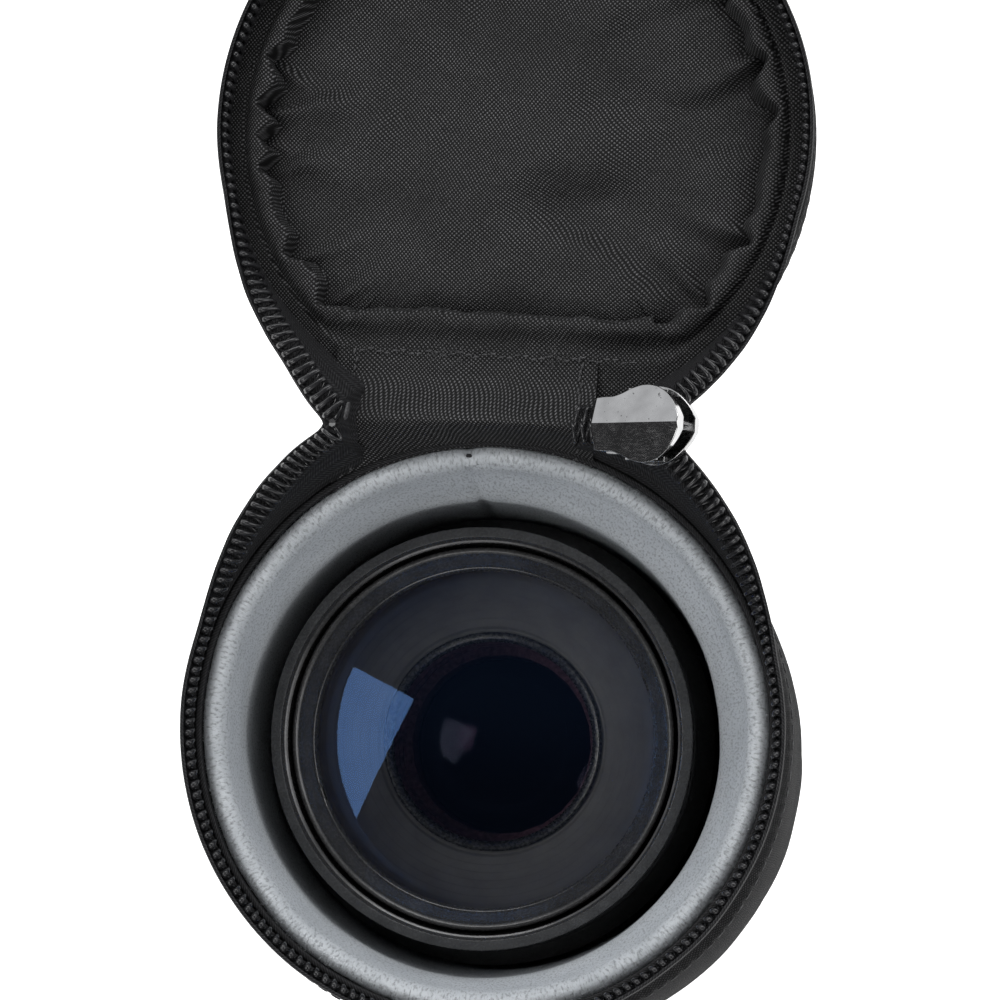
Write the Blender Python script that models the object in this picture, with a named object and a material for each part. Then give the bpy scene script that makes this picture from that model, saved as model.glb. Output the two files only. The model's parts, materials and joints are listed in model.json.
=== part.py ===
"""A padded round zip case that lies open, with a camera lens standing in it.

Lengths are in millimetres until a mesh is made. +Z is up, the case stands on z = 0 round the Z axis,
and its lid hinges open towards +Y, so that at rest it lies level with the rim, lining up.
"""

import math

import bmesh
import bpy
from mathutils import Vector

MM = 0.001

# The case: radii of its layers, from the outside in.
WALL_OUT = 45.2
WALL_IN = 44.45
TAPE_OUT = 44.15
TAPE_IN = 43.8
BINDING_OUT = 43.5
BINDING_IN = 42.95
LIP_OUT = 42.65
FOAM_IN = 40.5
FLEECE_OUT = 40.0
FLEECE_IN = 39.6
DISC_R = 43.4
PIPING_IN, PIPING_OUT = 43.75, 45.3

# The case: heights. The two halves of the zip meet in the parting plane.
PARTING_Z = 126.0
WALL_TOP = 119.0
PANEL_T = 1.2
FLOOR_FOAM_TOP = 8.8
FLOOR_TOP = 9.7

# The lid, as depths below the parting plane when it lies open.
LID_DEPTH = 16.0
LID_FOAM_TOP = 11.0
LID_LINING_TOP = 9.9

# The zip.
COIL_R = 44.0
COIL_T = 1.6
COIL_NEAR, COIL_FAR = 1.4, 3.7
TAPE_NEAR, TAPE_FAR = 4.0, 9.0
ZIP_START_DEG = 42.0
HINGE_Y = 45.4
HINGE_TAPE_DEG = (-24.5, 20.5)

# The slider is parked this far round the chain from the hinge's middle. With the lid open the chain's
# ends stand up over the hinge line, as far as they lie inside it when the lid is shut.
SLIDER_DEG = 31.0
SLIDER_LIFT = HINGE_Y - COIL_R * math.cos(math.radians(SLIDER_DEG))

# The lens. It stands a little off the case's axis, nearer to the front left of the lining.
LENS_AXIS = (-2.0, -1.0)
GRIP_R = 36.4
FRONT_R = 33.1
LENS_BASE = 10.0
LENS_TOP = 98.8
BLADES = 7
BLADE_PIVOT_R = 22.4
BLADE_FIRST_Z = 53.8
BLADE_STEP = 0.6
BLADE_T = 0.25
BLADE_TAIL_DEG = 6.0
BLADE_DEG = 84.0

CASE_SEGMENTS = 36
LENS_SEGMENTS = 36
INNER_SEGMENTS = 24

NYLON = ((0.012, 0.012, 0.014), 0.75, 0.0)
WEAVE = ((0.016, 0.016, 0.018), 0.7, 0.0)
FLEECE = ((0.3, 0.32, 0.34), 0.95, 0.0)
FOAM = ((0.05, 0.05, 0.055), 0.9, 0.0)
BOARD = ((0.2, 0.17, 0.13), 0.85, 0.0)
COIL = ((0.014, 0.014, 0.016), 0.35, 0.0)
ZINC = ((0.42, 0.43, 0.44), 0.3, 1.0)
BLACK_METAL = ((0.02, 0.02, 0.022), 0.38, 0.6)
BLACK_PLASTIC = ((0.02, 0.02, 0.022), 0.5, 0.0)
RUBBER = ((0.018, 0.018, 0.018), 0.8, 0.0)
STEEL = ((0.6, 0.6, 0.6), 0.25, 1.0)
BLADE_STEEL = ((0.05, 0.05, 0.055), 0.4, 0.8)
GLASS = ((0.05, 0.055, 0.08), 0.04, 0.0)


def clear_scene():
    for ob in list(bpy.data.objects):
        bpy.data.objects.remove(ob, do_unlink=True)


def material(name, look):
    colour, roughness, metallic = look
    mat = bpy.data.materials.new(name)
    mat.use_nodes = True
    shader = mat.node_tree.nodes["Principled BSDF"]
    shader.inputs["Base Color"].default_value = (*colour, 1.0)
    shader.inputs["Roughness"].default_value = roughness
    shader.inputs["Metallic"].default_value = metallic
    return mat


def add_object(name, look, bm, origin, smooth=True):
    """Makes an object from a mesh in millimetres, with its origin at a point in millimetres."""
    bmesh.ops.recalc_face_normals(bm, faces=bm.faces)
    for v in bm.verts:
        v.co = (v.co - Vector(origin)) * MM
    mesh = bpy.data.meshes.new(name)
    bm.to_mesh(mesh)
    bm.free()
    mesh.materials.append(material(name, look))
    if smooth:
        mesh.shade_smooth()
        mesh.set_sharp_from_angle(angle=math.radians(35))
    ob = bpy.data.objects.new(name, mesh)
    ob.location = Vector(origin) * MM
    bpy.context.scene.collection.objects.link(ob)
    return ob


def on_circle(radius, azimuth):
    """A point on a circle round the Z axis, its azimuth clockwise from +Y as seen from above."""
    return radius * math.sin(azimuth), radius * math.cos(azimuth)


def turned(name, look, outline, segments, centre=(0, 0), origin=(0, 0, 0)):
    """Turns a closed outline of (radius, height) points into a full ring or, from the axis, a disc."""
    bm = bmesh.new()
    rings = []
    for radius, z in outline:
        if radius == 0:
            rings.append([bm.verts.new((*centre, z))] * segments)
            continue
        ring = []
        for i in range(segments):
            x, y = on_circle(radius, math.tau * i / segments)
            ring.append(bm.verts.new((centre[0] + x, centre[1] + y, z)))
        rings.append(ring)
    for a, b in zip(rings, rings[1:] + rings[:1]):
        skin_between(bm, a, b)
    return add_object(name, look, bm, origin)


def banded(name, look, outline, start_deg, end_deg, centre=(0, 0), origin=(0, 0, 0)):
    """Sweeps a closed outline of (radius, height) points round part of a circle and caps its ends."""
    bm = bmesh.new()
    steps = max(4, round((end_deg - start_deg) * CASE_SEGMENTS / 360))
    rows = []
    for i in range(steps + 1):
        azimuth = math.radians(start_deg + (end_deg - start_deg) * i / steps)
        row = []
        for radius, z in outline:
            x, y = on_circle(radius, azimuth)
            row.append(bm.verts.new((centre[0] + x, centre[1] + y, z)))
        rows.append(row)
    for a, b in zip(rows, rows[1:]):
        skin_between(bm, a, b)
    bm.faces.new(rows[0])
    bm.faces.new(rows[-1][::-1])
    return add_object(name, look, bm, origin)


def skin_between(bm, a, b):
    """Joins two closed rows of vertices with faces, as triangles where either row is a single point."""
    for i in range(len(a)):
        j = (i + 1) % len(a)
        corners = list(dict.fromkeys((a[i], a[j], b[j], b[i])))
        if len(corners) > 2:
            bm.faces.new(corners)


def rectangle(r0, r1, z0, z1):
    return [(r0, z0), (r1, z0), (r1, z1), (r0, z1)]


def disc(radius, z0, z1):
    return rectangle(0, radius, z0, z1)


def fused(name, look, boxes, shape, origin=(0, 0, 0), smooth=False):
    """Makes one closed body from boxes that share faces or overlap, each (u0, u1, w0, w1, n0, n1).

    The boxes' own faces make a grid. Only faces between a filled cell and an empty one are kept, and
    shape places each grid corner in space.
    """
    lines = [sorted({v for box in boxes for v in box[2 * k : 2 * k + 2]}) for k in range(3)]
    counts = [len(axis) - 1 for axis in lines]
    filled = {
        (i, j, k)
        for i in range(counts[0])
        for j in range(counts[1])
        for k in range(counts[2])
        if any(inside(lines, (i, j, k), box) for box in boxes)
    }
    bm = bmesh.new()
    made = {}

    def corner(index):
        if index not in made:
            made[index] = bm.verts.new(shape(*(lines[d][index[d]] for d in range(3))))
        return made[index]

    for cell in sorted(filled):
        for axis in range(3):
            for side in (0, 1):
                beyond = list(cell)
                beyond[axis] += 2 * side - 1
                if tuple(beyond) not in filled:
                    bm.faces.new([corner(c) for c in face_corners(cell, axis, side)])
    bmesh.ops.recalc_face_normals(bm, faces=bm.faces)
    bmesh.ops.dissolve_limit(bm, angle_limit=math.radians(0.5), verts=bm.verts, edges=bm.edges)
    bmesh.ops.triangulate(bm, faces=bm.faces)
    return add_object(name, look, bm, origin, smooth)


def inside(lines, cell, box):
    """Whether a grid cell's middle lies in a box."""
    for d in range(3):
        middle = (lines[d][cell[d]] + lines[d][cell[d] + 1]) / 2
        if not box[2 * d] < middle < box[2 * d + 1]:
            return False
    return True


def face_corners(cell, axis, side):
    """The grid indices round one face of a cell."""
    u, v = [d for d in range(3) if d != axis]
    corners = []
    for du, dv in ((0, 0), (1, 0), (1, 1), (0, 1)):
        index = list(cell)
        index[axis] += side
        index[u] += du
        index[v] += dv
        corners.append(tuple(index))
    return corners


def straight(u, w, n):
    return (u, w, n)


def build_case():
    turned("base_panel", NYLON, disc(DISC_R, 0, PANEL_T), CASE_SEGMENTS)
    piping = rounded(PIPING_IN, PIPING_OUT, 0.4, 2.3)
    turned("base_piping", NYLON, piping, CASE_SEGMENTS)
    turned("base_board", BOARD, disc(DISC_R, 1.5, 2.5), CASE_SEGMENTS)
    turned("base_foam", FOAM, disc(DISC_R, 2.8, FLOOR_FOAM_TOP), CASE_SEGMENTS)
    turned("base_lining", FLEECE, disc(39.3, 9.1, FLOOR_TOP), CASE_SEGMENTS)
    turned("shell_wall", WEAVE, rectangle(WALL_IN, WALL_OUT, 2.6, WALL_TOP), CASE_SEGMENTS)
    turned("wall_foam", FOAM, rectangle(FOAM_IN, BINDING_OUT, 9.1, 116.7), CASE_SEGMENTS)
    fleece = [
        (FLEECE_IN, 10.0),
        (FLEECE_OUT, 10.0),
        (FLEECE_OUT, 117.0),
        (LIP_OUT, 117.0),
        (LIP_OUT, 118.7),
        (41.9, 119.7),
        (40.8, 119.9),
        (39.9, 119.3),
        (FLEECE_IN, 118.0),
    ]
    turned("wall_lining", FLEECE, fleece, CASE_SEGMENTS)
    turned("rim_binding", NYLON, rectangle(BINDING_IN, BINDING_OUT, 117.0, 120.0), CASE_SEGMENTS)
    hinge_tape = rectangle(TAPE_IN, TAPE_OUT, 117.0, PARTING_Z - 1.3)
    banded("hinge_tape_body", NYLON, hinge_tape, *HINGE_TAPE_DEG)
    zip_half("body", 0)


def rounded(r0, r1, z0, z1):
    """An eight-sided outline, for a filled piping cord."""
    r, z = (r1 - r0) / 2, (z1 - z0) / 2
    middle = ((r0 + r1) / 2, (z0 + z1) / 2)
    points = []
    for i in range(8):
        angle = math.tau * (i + 0.5) / 8
        points.append((middle[0] + r * math.cos(angle), middle[1] + z * math.sin(angle)))
    return points


def zip_half(which, centre_y):
    """One half's zip tape, sewn inside its wall, and the coil along the tape's edge."""
    arc = (ZIP_START_DEG, 360 - ZIP_START_DEG)
    origin = (0, HINGE_Y, PARTING_Z) if which == "lid" else (0, 0, 0)
    tape = rectangle(TAPE_IN, TAPE_OUT, PARTING_Z - TAPE_FAR, PARTING_Z - TAPE_NEAR)
    if which == "lid":
        arc = (ZIP_START_DEG - 180, 180 - ZIP_START_DEG)
    banded(f"zip_tape_{which}", NYLON, tape, *arc, centre=(0, centre_y), origin=origin)
    half = COIL_T / 2
    coil = rectangle(COIL_R - half, COIL_R + half, PARTING_Z - COIL_FAR, PARTING_Z - COIL_NEAR)
    banded(f"zip_coil_{which}", COIL, coil, *arc, centre=(0, centre_y), origin=origin)


def build_lid():
    """The lid lies open beside the case, its origin on the hinge line."""
    centre = (0, 2 * HINGE_Y)
    origin = (0, HINGE_Y, PARTING_Z)

    def ring(name, look, outline):
        lowered = [(r, PARTING_Z - depth) for r, depth in outline]
        turned(name, look, lowered, CASE_SEGMENTS, centre, origin)

    ring("lid_panel", WEAVE, disc(DISC_R, LID_DEPTH, LID_DEPTH - PANEL_T))
    ring("lid_piping", NYLON, rounded(PIPING_IN, PIPING_OUT, LID_DEPTH - 0.4, LID_DEPTH - 2.3))
    ring("lid_wall", WEAVE, rectangle(WALL_IN, WALL_OUT, LID_DEPTH - 2.6, 7.0))
    ring("lid_foam", FOAM, disc(DISC_R, LID_DEPTH - PANEL_T - 0.3, LID_FOAM_TOP))
    lining = [
        (0, LID_FOAM_TOP - 0.3),
        (BINDING_OUT, LID_FOAM_TOP - 0.3),
        (BINDING_OUT, 7.4),
        (42.6, 6.4),
        (41.0, 6.1),
        (39.4, 6.8),
        (38.4, LID_LINING_TOP),
        (0, LID_LINING_TOP),
    ]
    ring("lid_lining", NYLON, lining)
    hinge_tape = rectangle(TAPE_IN, TAPE_OUT, PARTING_Z - 9.0, PARTING_Z - 1.3)
    low, high = HINGE_TAPE_DEG
    banded("hinge_tape_lid", NYLON, hinge_tape, 180 - high, 180 - low, centre, origin)
    zip_half("lid", centre[1])


def build_hinge_web():
    """The zip's tape between its two ends, which turns by half as much as the lid."""
    origin = (0, HINGE_Y, PARTING_Z)

    def strip(name, look, x0, x1, half, z0, z1):
        box = (x0, x1, HINGE_Y - half, HINGE_Y + half, PARTING_Z + z0, PARTING_Z + z1)
        fused(name, look, [box], straight, origin)

    strip("hinge_web", NYLON, -17.9, 15.0, 0.6, 1.0, 1.7)
    strip("chain_stub", COIL, 11.0, 15.0, 1.0, 2.0, 3.3)
    strip("chain_end_left", COIL, -17.9, -16.2, 1.0, 2.0, 3.3)


def slider_point(u, w, n):
    """From the slider's own frame to space: u along the chain, w across it, n out of the case."""
    tilt = math.radians(SLIDER_DEG)
    x = COIL_R * math.sin(tilt) + u * math.cos(tilt) + n * math.sin(tilt)
    z = PARTING_Z + SLIDER_LIFT + u * math.sin(tilt) - n * math.cos(tilt)
    return x, HINGE_Y + w, z


SLIDER_WIDTHS = (
    (-7.5, 0.7),
    (-6.6, 0.76),
    (-3.6, 0.76),
    (-1.6, 1.0),
    (0.6, 1.06),
    (3.2, 0.96),
    (5.4, 0.72),
    (6.8, 0.42),
    (7.5, 0.2),
)


def slider_shape(u, w, n):
    """Narrows the plates to a neck at the back and to a rounded nose at the front."""
    for (u0, s0), (u1, s1) in zip(SLIDER_WIDTHS, SLIDER_WIDTHS[1:]):
        if u0 <= u <= u1:
            scale = s0 + (s1 - s0) * (u - u0) / (u1 - u0)
            break
    return slider_point(u, w * scale, n)


def build_slider():
    """Two plates joined by a post, with a bail for the pull. Its origin is on the axis it travels round."""
    inner, outer = (-2.85, -1.75), (1.05, 2.15)
    boxes = []
    for (u0, _), (u1, _) in zip(SLIDER_WIDTHS, SLIDER_WIDTHS[1:]):
        boxes.append((u0, u1, -5.5, 5.5, *inner))
        boxes.append((u0, u1, -5.5, 5.5, *outer))
    boxes.append((3.2, 5.4, -1.1, 1.1, -1.75, 1.05))
    for side in (-1, 1):
        w0, w1 = sorted((side * 4.4, side * 5.5))
        boxes.append((-1.6, 3.2, w0, w1, -1.75, -1.15))
        boxes.append((-1.6, 3.2, w0, w1, 0.5, 1.05))
    boxes.append((-3.6, -2.6, -0.9, 0.9, 2.15, 4.5))
    boxes.append((2.2, 3.2, -0.9, 0.9, 2.15, 4.5))
    boxes.append((-3.6, 3.2, -0.9, 0.9, 3.75, 4.5))
    travel_axis = (0, HINGE_Y, PARTING_Z + HINGE_Y)
    fused("slider_body", ZINC, boxes, slider_shape, travel_axis)


def build_pull_tab():
    """Hangs straight down from the slider's bail, its origin on the bar it swings on."""
    pivot = slider_point(0, 0, 2.95)
    boxes = [(-0.42, 0.42, -3.0, 3.0, -0.42, 0.42)]
    for w0, w1 in ((-3.0, -2.0), (2.0, 3.0)):
        boxes.append((0.42, 4.8, w0, w1, -0.42, 0.42))
    boxes.append((4.8, 21.0, -3.0, 3.0, -0.42, 0.42))

    def hang(down, across, out):
        return pivot[0] + out, pivot[1] + across, pivot[2] - down

    fused("pull_tab", ZINC, boxes, hang, pivot)


def lens_ring(name, look, outline, segments=LENS_SEGMENTS):
    """Turns an outline about the lens's own axis, where its origin lies too."""
    turned(name, look, outline, segments, LENS_AXIS, (*LENS_AXIS, 0))


def build_lens_outside():
    cap = [(0, LENS_BASE), (33, LENS_BASE), (33, 25), (31.4, 25), (31.4, 12), (0, 12)]
    lens_ring("rear_cap", BLACK_PLASTIC, cap)
    mount = [(21.5, 12.6), (24.5, 12.6), (24.5, 18.6), (30.8, 18.6), (30.8, 20.6), (21.5, 20.6)]
    lens_ring("bayonet_mount", STEEL, mount)
    rear = [(26, 20.9), (31.0, 20.9), (31.0, 25.4), (34.6, 25.4)]
    rear += [(34.6, 30.2), (30.1, 30.2), (30.1, 38.5), (26, 38.5)]
    lens_ring("rear_barrel", BLACK_METAL, rear)
    lens_ring("aperture_ring", BLACK_METAL, rectangle(30.5, 35.2, 30.5, 38.5))
    main = [(30.5, 38.8), (34.8, 38.8), (34.8, 44.7), (32.5, 44.7), (32.5, 85.4), (30.5, 85.4)]
    lens_ring("main_barrel", BLACK_METAL, main)
    lens_ring("focus_ring", BLACK_METAL, rectangle(32.9, 34.7, 45.0, 72.0))
    lens_ring("focus_grip", RUBBER, rectangle(35.1, GRIP_R, 47.0, 70.0))
    taper = [(32.9, 72.3), (36.3, 72.3), (36.3, 73.5), (33.6, 85.4), (32.9, 85.4)]
    lens_ring("front_barrel", BLACK_METAL, taper)
    rim = [(30.6, 85.7), (FRONT_R, 85.7), (FRONT_R, 98.2), (32.5, LENS_TOP), (31.4, LENS_TOP), (30.6, 98.0)]
    lens_ring("filter_ring", BLACK_METAL, rim)


def build_lens_inside():
    """What moves forwards when the lens is focused, apart from the iris blades."""

    def ring(name, look, outline):
        lens_ring(name, look, outline, INNER_SEGMENTS)

    ring("focus_tube", BLACK_METAL, rectangle(28.3, 30.0, 45.0, 90.0))
    ring("front_trim_ring", BLACK_METAL, [(27.2, 91.2), (30.1, 92.6), (30.1, 93.6), (27.2, 92.2)])
    ring("front_retainer", BLACK_METAL, rectangle(26.8, 28.0, 88.6, 90.9))
    ring("front_element", GLASS, lens_outline(27.8, 84.4, 84.4, 87.8, 91.8))
    ring("baffle_cone", BLACK_METAL, [(17.6, 71.4), (28.0, 82.9), (26.6, 82.9), (16.4, 71.4)])
    ring("second_element", GLASS, lens_outline(19.4, 65.0, 63.4, 68.0, 70.8))
    ring("second_cell", BLACK_METAL, rectangle(19.8, 28.0, 62.0, 70.6))
    iris = [(16.8, 52.0), (28.0, 52.0), (28.0, 59.2), (26.8, 59.2), (26.8, 53.4), (16.8, 53.4)]
    ring("iris_housing", BLACK_METAL, iris)
    ring("iris_cover", BLACK_METAL, rectangle(16.8, 28.0, 59.5, 60.5))
    rear = [(15.2, 36.0), (18.0, 36.0), (18.0, 45.2), (28.0, 45.2), (28.0, 51.7), (15.2, 51.7)]
    ring("rear_cell", BLACK_METAL, rear)
    ring("rear_element", GLASS, lens_outline(14.8, 41.0, 39.6, 45.0, 46.6))


def lens_outline(radius, edge_low, middle_low, edge_high, middle_high):
    """Half the section of a glass element with two curved faces."""
    low = [(radius * t, middle_low + (edge_low - middle_low) * t * t) for t in (0, 0.35, 0.7, 1)]
    high = [(radius * t, middle_high + (edge_high - middle_high) * t * t) for t in (1, 0.7, 0.35, 0)]
    return low + high


def build_iris():
    """Curved blades on pins, each a little higher than the last, so that they slide over each other."""
    for i in range(BLADES):
        azimuth = math.tau * i / BLADES
        z = BLADE_FIRST_Z + BLADE_STEP * i
        x, y = on_circle(BLADE_PIVOT_R, azimuth)
        pivot = (LENS_AXIS[0] + x, LENS_AXIS[1] + y, z)
        section = rectangle(18.4, 25.6, z, z + BLADE_T)
        first = math.degrees(azimuth) - BLADE_TAIL_DEG
        banded(f"iris_blade_{i + 1}", BLADE_STEEL, section, first, first + BLADE_DEG, LENS_AXIS, pivot)


def main():
    clear_scene()
    build_case()
    build_lid()
    build_hinge_web()
    build_slider()
    build_pull_tab()
    build_lens_outside()
    build_lens_inside()
    build_iris()


main()
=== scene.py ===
"""The looks of an open round zip case with a camera lens standing in it.

Shapes are worked out in millimetres, in the frame's own axes: the case stands round the Z axis, and its
lid lies open towards +Y. The lid's zip and walls are the case's, mirrored across the hinge line.
"""

import json
from math import atan2, cos, degrees, exp, hypot, log, log1p, pi, radians, sin, sqrt, tau

import bmesh
import bpy
import numpy as np
from mathutils import Matrix, Vector, noise


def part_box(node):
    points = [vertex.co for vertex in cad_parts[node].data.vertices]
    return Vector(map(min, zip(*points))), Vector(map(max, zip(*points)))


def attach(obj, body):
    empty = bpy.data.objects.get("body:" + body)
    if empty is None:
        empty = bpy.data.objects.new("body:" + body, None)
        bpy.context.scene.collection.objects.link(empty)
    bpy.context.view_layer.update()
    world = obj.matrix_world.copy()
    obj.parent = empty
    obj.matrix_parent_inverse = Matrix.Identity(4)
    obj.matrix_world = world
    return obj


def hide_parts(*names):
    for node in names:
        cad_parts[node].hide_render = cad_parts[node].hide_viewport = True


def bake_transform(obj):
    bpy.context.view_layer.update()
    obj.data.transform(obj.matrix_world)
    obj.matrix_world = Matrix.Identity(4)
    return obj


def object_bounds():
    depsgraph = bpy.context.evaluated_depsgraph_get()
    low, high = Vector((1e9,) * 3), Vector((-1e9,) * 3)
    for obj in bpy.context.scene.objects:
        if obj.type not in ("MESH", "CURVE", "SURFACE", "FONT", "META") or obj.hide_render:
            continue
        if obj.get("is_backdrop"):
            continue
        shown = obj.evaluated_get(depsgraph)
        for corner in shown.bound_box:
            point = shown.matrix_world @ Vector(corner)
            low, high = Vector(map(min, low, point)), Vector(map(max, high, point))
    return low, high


MM = 0.001
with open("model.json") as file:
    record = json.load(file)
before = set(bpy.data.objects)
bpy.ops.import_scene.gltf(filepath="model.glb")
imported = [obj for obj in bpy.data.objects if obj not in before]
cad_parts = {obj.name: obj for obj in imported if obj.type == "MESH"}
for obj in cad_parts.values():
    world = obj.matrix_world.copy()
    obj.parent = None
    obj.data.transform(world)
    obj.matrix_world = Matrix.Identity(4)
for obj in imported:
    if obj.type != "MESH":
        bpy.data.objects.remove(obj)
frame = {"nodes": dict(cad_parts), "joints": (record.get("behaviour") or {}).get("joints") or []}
CAD_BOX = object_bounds()
JOINTS = {j["name"]: j for j in frame["joints"]}


def radius_of(node):
    """A round node's outer radius in mm, from its width."""
    low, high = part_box(node)
    return (high.x - low.x) / 2 / MM


def height_of(node):
    """A node's lowest and highest z in mm."""
    low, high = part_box(node)
    return low.z / MM, high.z / MM


HINGE_Y = JOINTS["lid_hinge"]["pos_m"][1] / MM
RIM_Z = JOINTS["lid_hinge"]["pos_m"][2] / MM
LID_FOAM_TOP = height_of("lid_foam")[1]
LID_Y = 2 * HINGE_Y
COIL_R = radius_of("zip_coil_body") - 0.8
WALL_R = radius_of("shell_wall")
WALL_TOP = height_of("shell_wall")[1]
FLEECE_R = radius_of("base_lining") + 0.3
LENS_R = radius_of("focus_grip")
FRONT_R = radius_of("filter_ring")
LENS_AXIS = tuple(c / MM for c in JOINTS["focus_turn"]["pos_m"][:2])
LENS_FOOT = height_of("rear_cap")[0]
LENS_TOP = height_of("filter_ring")[1]

# ---------------------------------------------------------------- meshes


def smooth(t):
    """0 up to t = 0, 1 from t = 1, and an even S between them."""
    t = min(max(t, 0.0), 1.0)
    return t * t * (3 - 2 * t)


def bumps(x, y, z, size, seed=0.0):
    """Smooth noise between about -1 and 1, whose features are about size mm across."""
    return noise.noise(Vector((x / size + seed, y / size - seed, z / size + 2 * seed)))


def circle(count):
    """The cosine and sine of each of a count of equal steps round a circle."""
    angles = [tau * k / count for k in range(count)]
    return [(cos(a), sin(a)) for a in angles]


def outward(azimuth):
    """The level direction at an azimuth in radians, from +Y towards +X."""
    return np.array((sin(azimuth), cos(azimuth), 0))


def unit(vector):
    """The same direction with a length of 1."""
    return vector / np.linalg.norm(vector)


def bezier(a, b, c, t):
    """The point at t on the curve that leaves a towards b and ends at c."""
    return (1 - t) ** 2 * a + 2 * t * (1 - t) * b + t * t * c


def grid_faces(n, m, close_u, close_v):
    """Quads over an n by m grid of points, and for each corner its place in the grid of UVs."""
    faces, places = [], []
    for i in range(n if close_u else n - 1):
        for j in range(m if close_v else m - 1):
            ring = [(i, j), (i + 1, j), (i + 1, j + 1), (i, j + 1)]
            faces.append([(a % n) * m + b % m for a, b in ring])
            places.append(ring)
    return faces, places


def arc_lengths(points, closed):
    """Running length along the first axis of a grid, averaged over the second."""
    ring = np.concatenate([points, points[:1]]) if closed else points
    steps = np.linalg.norm(np.diff(ring, axis=0), axis=2).mean(axis=1)
    return np.concatenate([[0], np.cumsum(steps)])


SLOTS = {
    "nylon": ("lining_nylon", "zip_tape", "black_thread"),
    "weave": ("outer_nylon",),
    "fleece": ("grey_fleece",),
    "coil": ("coil_nylon",),
    "zinc": ("nickel_plate",),
    "black_metal": ("black_anodised", "satin_black", "baffle_grey", "cell_black", "white_paint", "red_paint"),
    "rubber": ("grip_rubber",),
    "black_plastic": ("cap_plastic",),
    "glass": ("front_glass", "inner_glass"),
}
SLOT_OF = {material: slot for slot, materials in SLOTS.items() for material in materials}


def finish_mesh(name, verts, faces, uvs, mat, body, replaces, sharp, weld):
    """Makes the object, faces its normals outwards, and says which body it belongs to."""
    mesh = bpy.data.meshes.new(name)
    mesh.from_pydata((np.asarray(verts) * MM).tolist(), [], faces)
    layer = mesh.uv_layers.new(name="cloth")
    layer.data.foreach_set("uv", np.asarray(uvs, np.float32).ravel())
    bm = bmesh.new()
    bm.from_mesh(mesh)
    if weld:
        bmesh.ops.remove_doubles(bm, verts=bm.verts, dist=1e-7)
    bmesh.ops.recalc_face_normals(bm, faces=bm.faces)
    bm.to_mesh(mesh)
    bm.free()
    mesh.shade_smooth()
    mesh.set_sharp_from_angle(angle=radians(sharp))
    mesh.materials.append(mat)
    ob = bpy.data.objects.new(name, mesh)
    bpy.context.scene.collection.objects.link(ob)
    if body:
        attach(ob, body)
    if replaces:
        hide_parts(*replaces)
    return ob


def surface(
    name, points, mat, body, close_u=False, close_v=False, caps=False, replaces=(), sharp=50, weld=False
):
    """A mesh over a grid of points, with UVs in mm of cloth. caps shuts the ends of a tube."""
    points = np.asarray(points, float)
    n, m = points.shape[:2]
    u = arc_lengths(points, close_u)
    v = arc_lengths(points.transpose(1, 0, 2), close_v)
    faces, places = grid_faces(n, m, close_u, close_v)
    uvs = [(u[a], v[b]) for ring in places for a, b in ring]
    if caps:
        for row in (0, n - 1):
            faces.append([row * m + j for j in range(m)])
            uvs += [(u[row], v[j]) for j in range(m)]
    return finish_mesh(name, points.reshape(-1, 3), faces, uvs, mat, body, replaces, sharp, weld)


def round_corners(outline, size, steps=3):
    """Rounds each corner off the axis, by at most size and at most 0.4 of the shorter side."""
    points = [np.array(p, float) for p in outline]
    result = []
    for i, p in enumerate(points):
        if p[0] == 0:
            result.append(p)
            continue
        before, after = points[i - 1] - p, points[(i + 1) % len(points)] - p
        reach = min(size, 0.4 * np.linalg.norm(before), 0.4 * np.linalg.norm(after))
        ends = p + unit(before) * reach, p + unit(after) * reach
        result += [bezier(ends[0], p, ends[1], k / steps) for k in range(steps + 1)]
    return result


def lathe(name, outline, mat, body, segments=144, centre=(0, 0), bevel=0.25, shape=None, **more):
    """Turns a closed outline of (radius, height) points about a vertical axis.

    shape(azimuth, radius, z) may move each point, and gives its new radius and height.
    """
    profile = round_corners(outline, bevel) if bevel else outline
    points = np.zeros((segments, len(profile), 3))
    for i in range(segments):
        azimuth = tau * i / segments
        for j, (r, z) in enumerate(profile):
            if shape:
                r, z = shape(azimuth, r, z)
            points[i, j] = (centre[0] + r * sin(azimuth), centre[1] + r * cos(azimuth), z)
    touches_axis = any(r == 0 for r, _ in profile)
    return surface(name, points, mat, body, close_u=True, close_v=True, weld=touches_axis, **more)


def tube_rings(path, radii, sides):
    """Rings of points round a path, on frames carried along it."""
    path = np.asarray(path, float)
    tangent = np.gradient(path, axis=0)
    tangent /= np.linalg.norm(tangent, axis=1)[:, None]
    normal = np.cross(tangent[0], (0.3, 0.2, 0.9))
    rings = np.zeros((len(path), sides, 3))
    for i, (p, t) in enumerate(zip(path, tangent)):
        normal = unit(normal - t * (normal @ t))
        other = np.cross(t, normal)
        rings[i] = [p + radii[i] * (c * normal + s * other) for c, s in circle(sides)]
    return rings


def tube(name, rings, mat, body, sharp=80, **more):
    """A tube over rings of points, shut at both ends."""
    return surface(name, rings, mat, body, close_v=True, caps=True, sharp=sharp, **more)


def mirrored(points):
    """The same points mirrored across the hinge line, which takes the case's shapes to the open lid's."""
    points = np.array(points, float)
    points[..., 1] = LID_Y - points[..., 1]
    return points


# ---------------------------------------------------------------- materials


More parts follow.
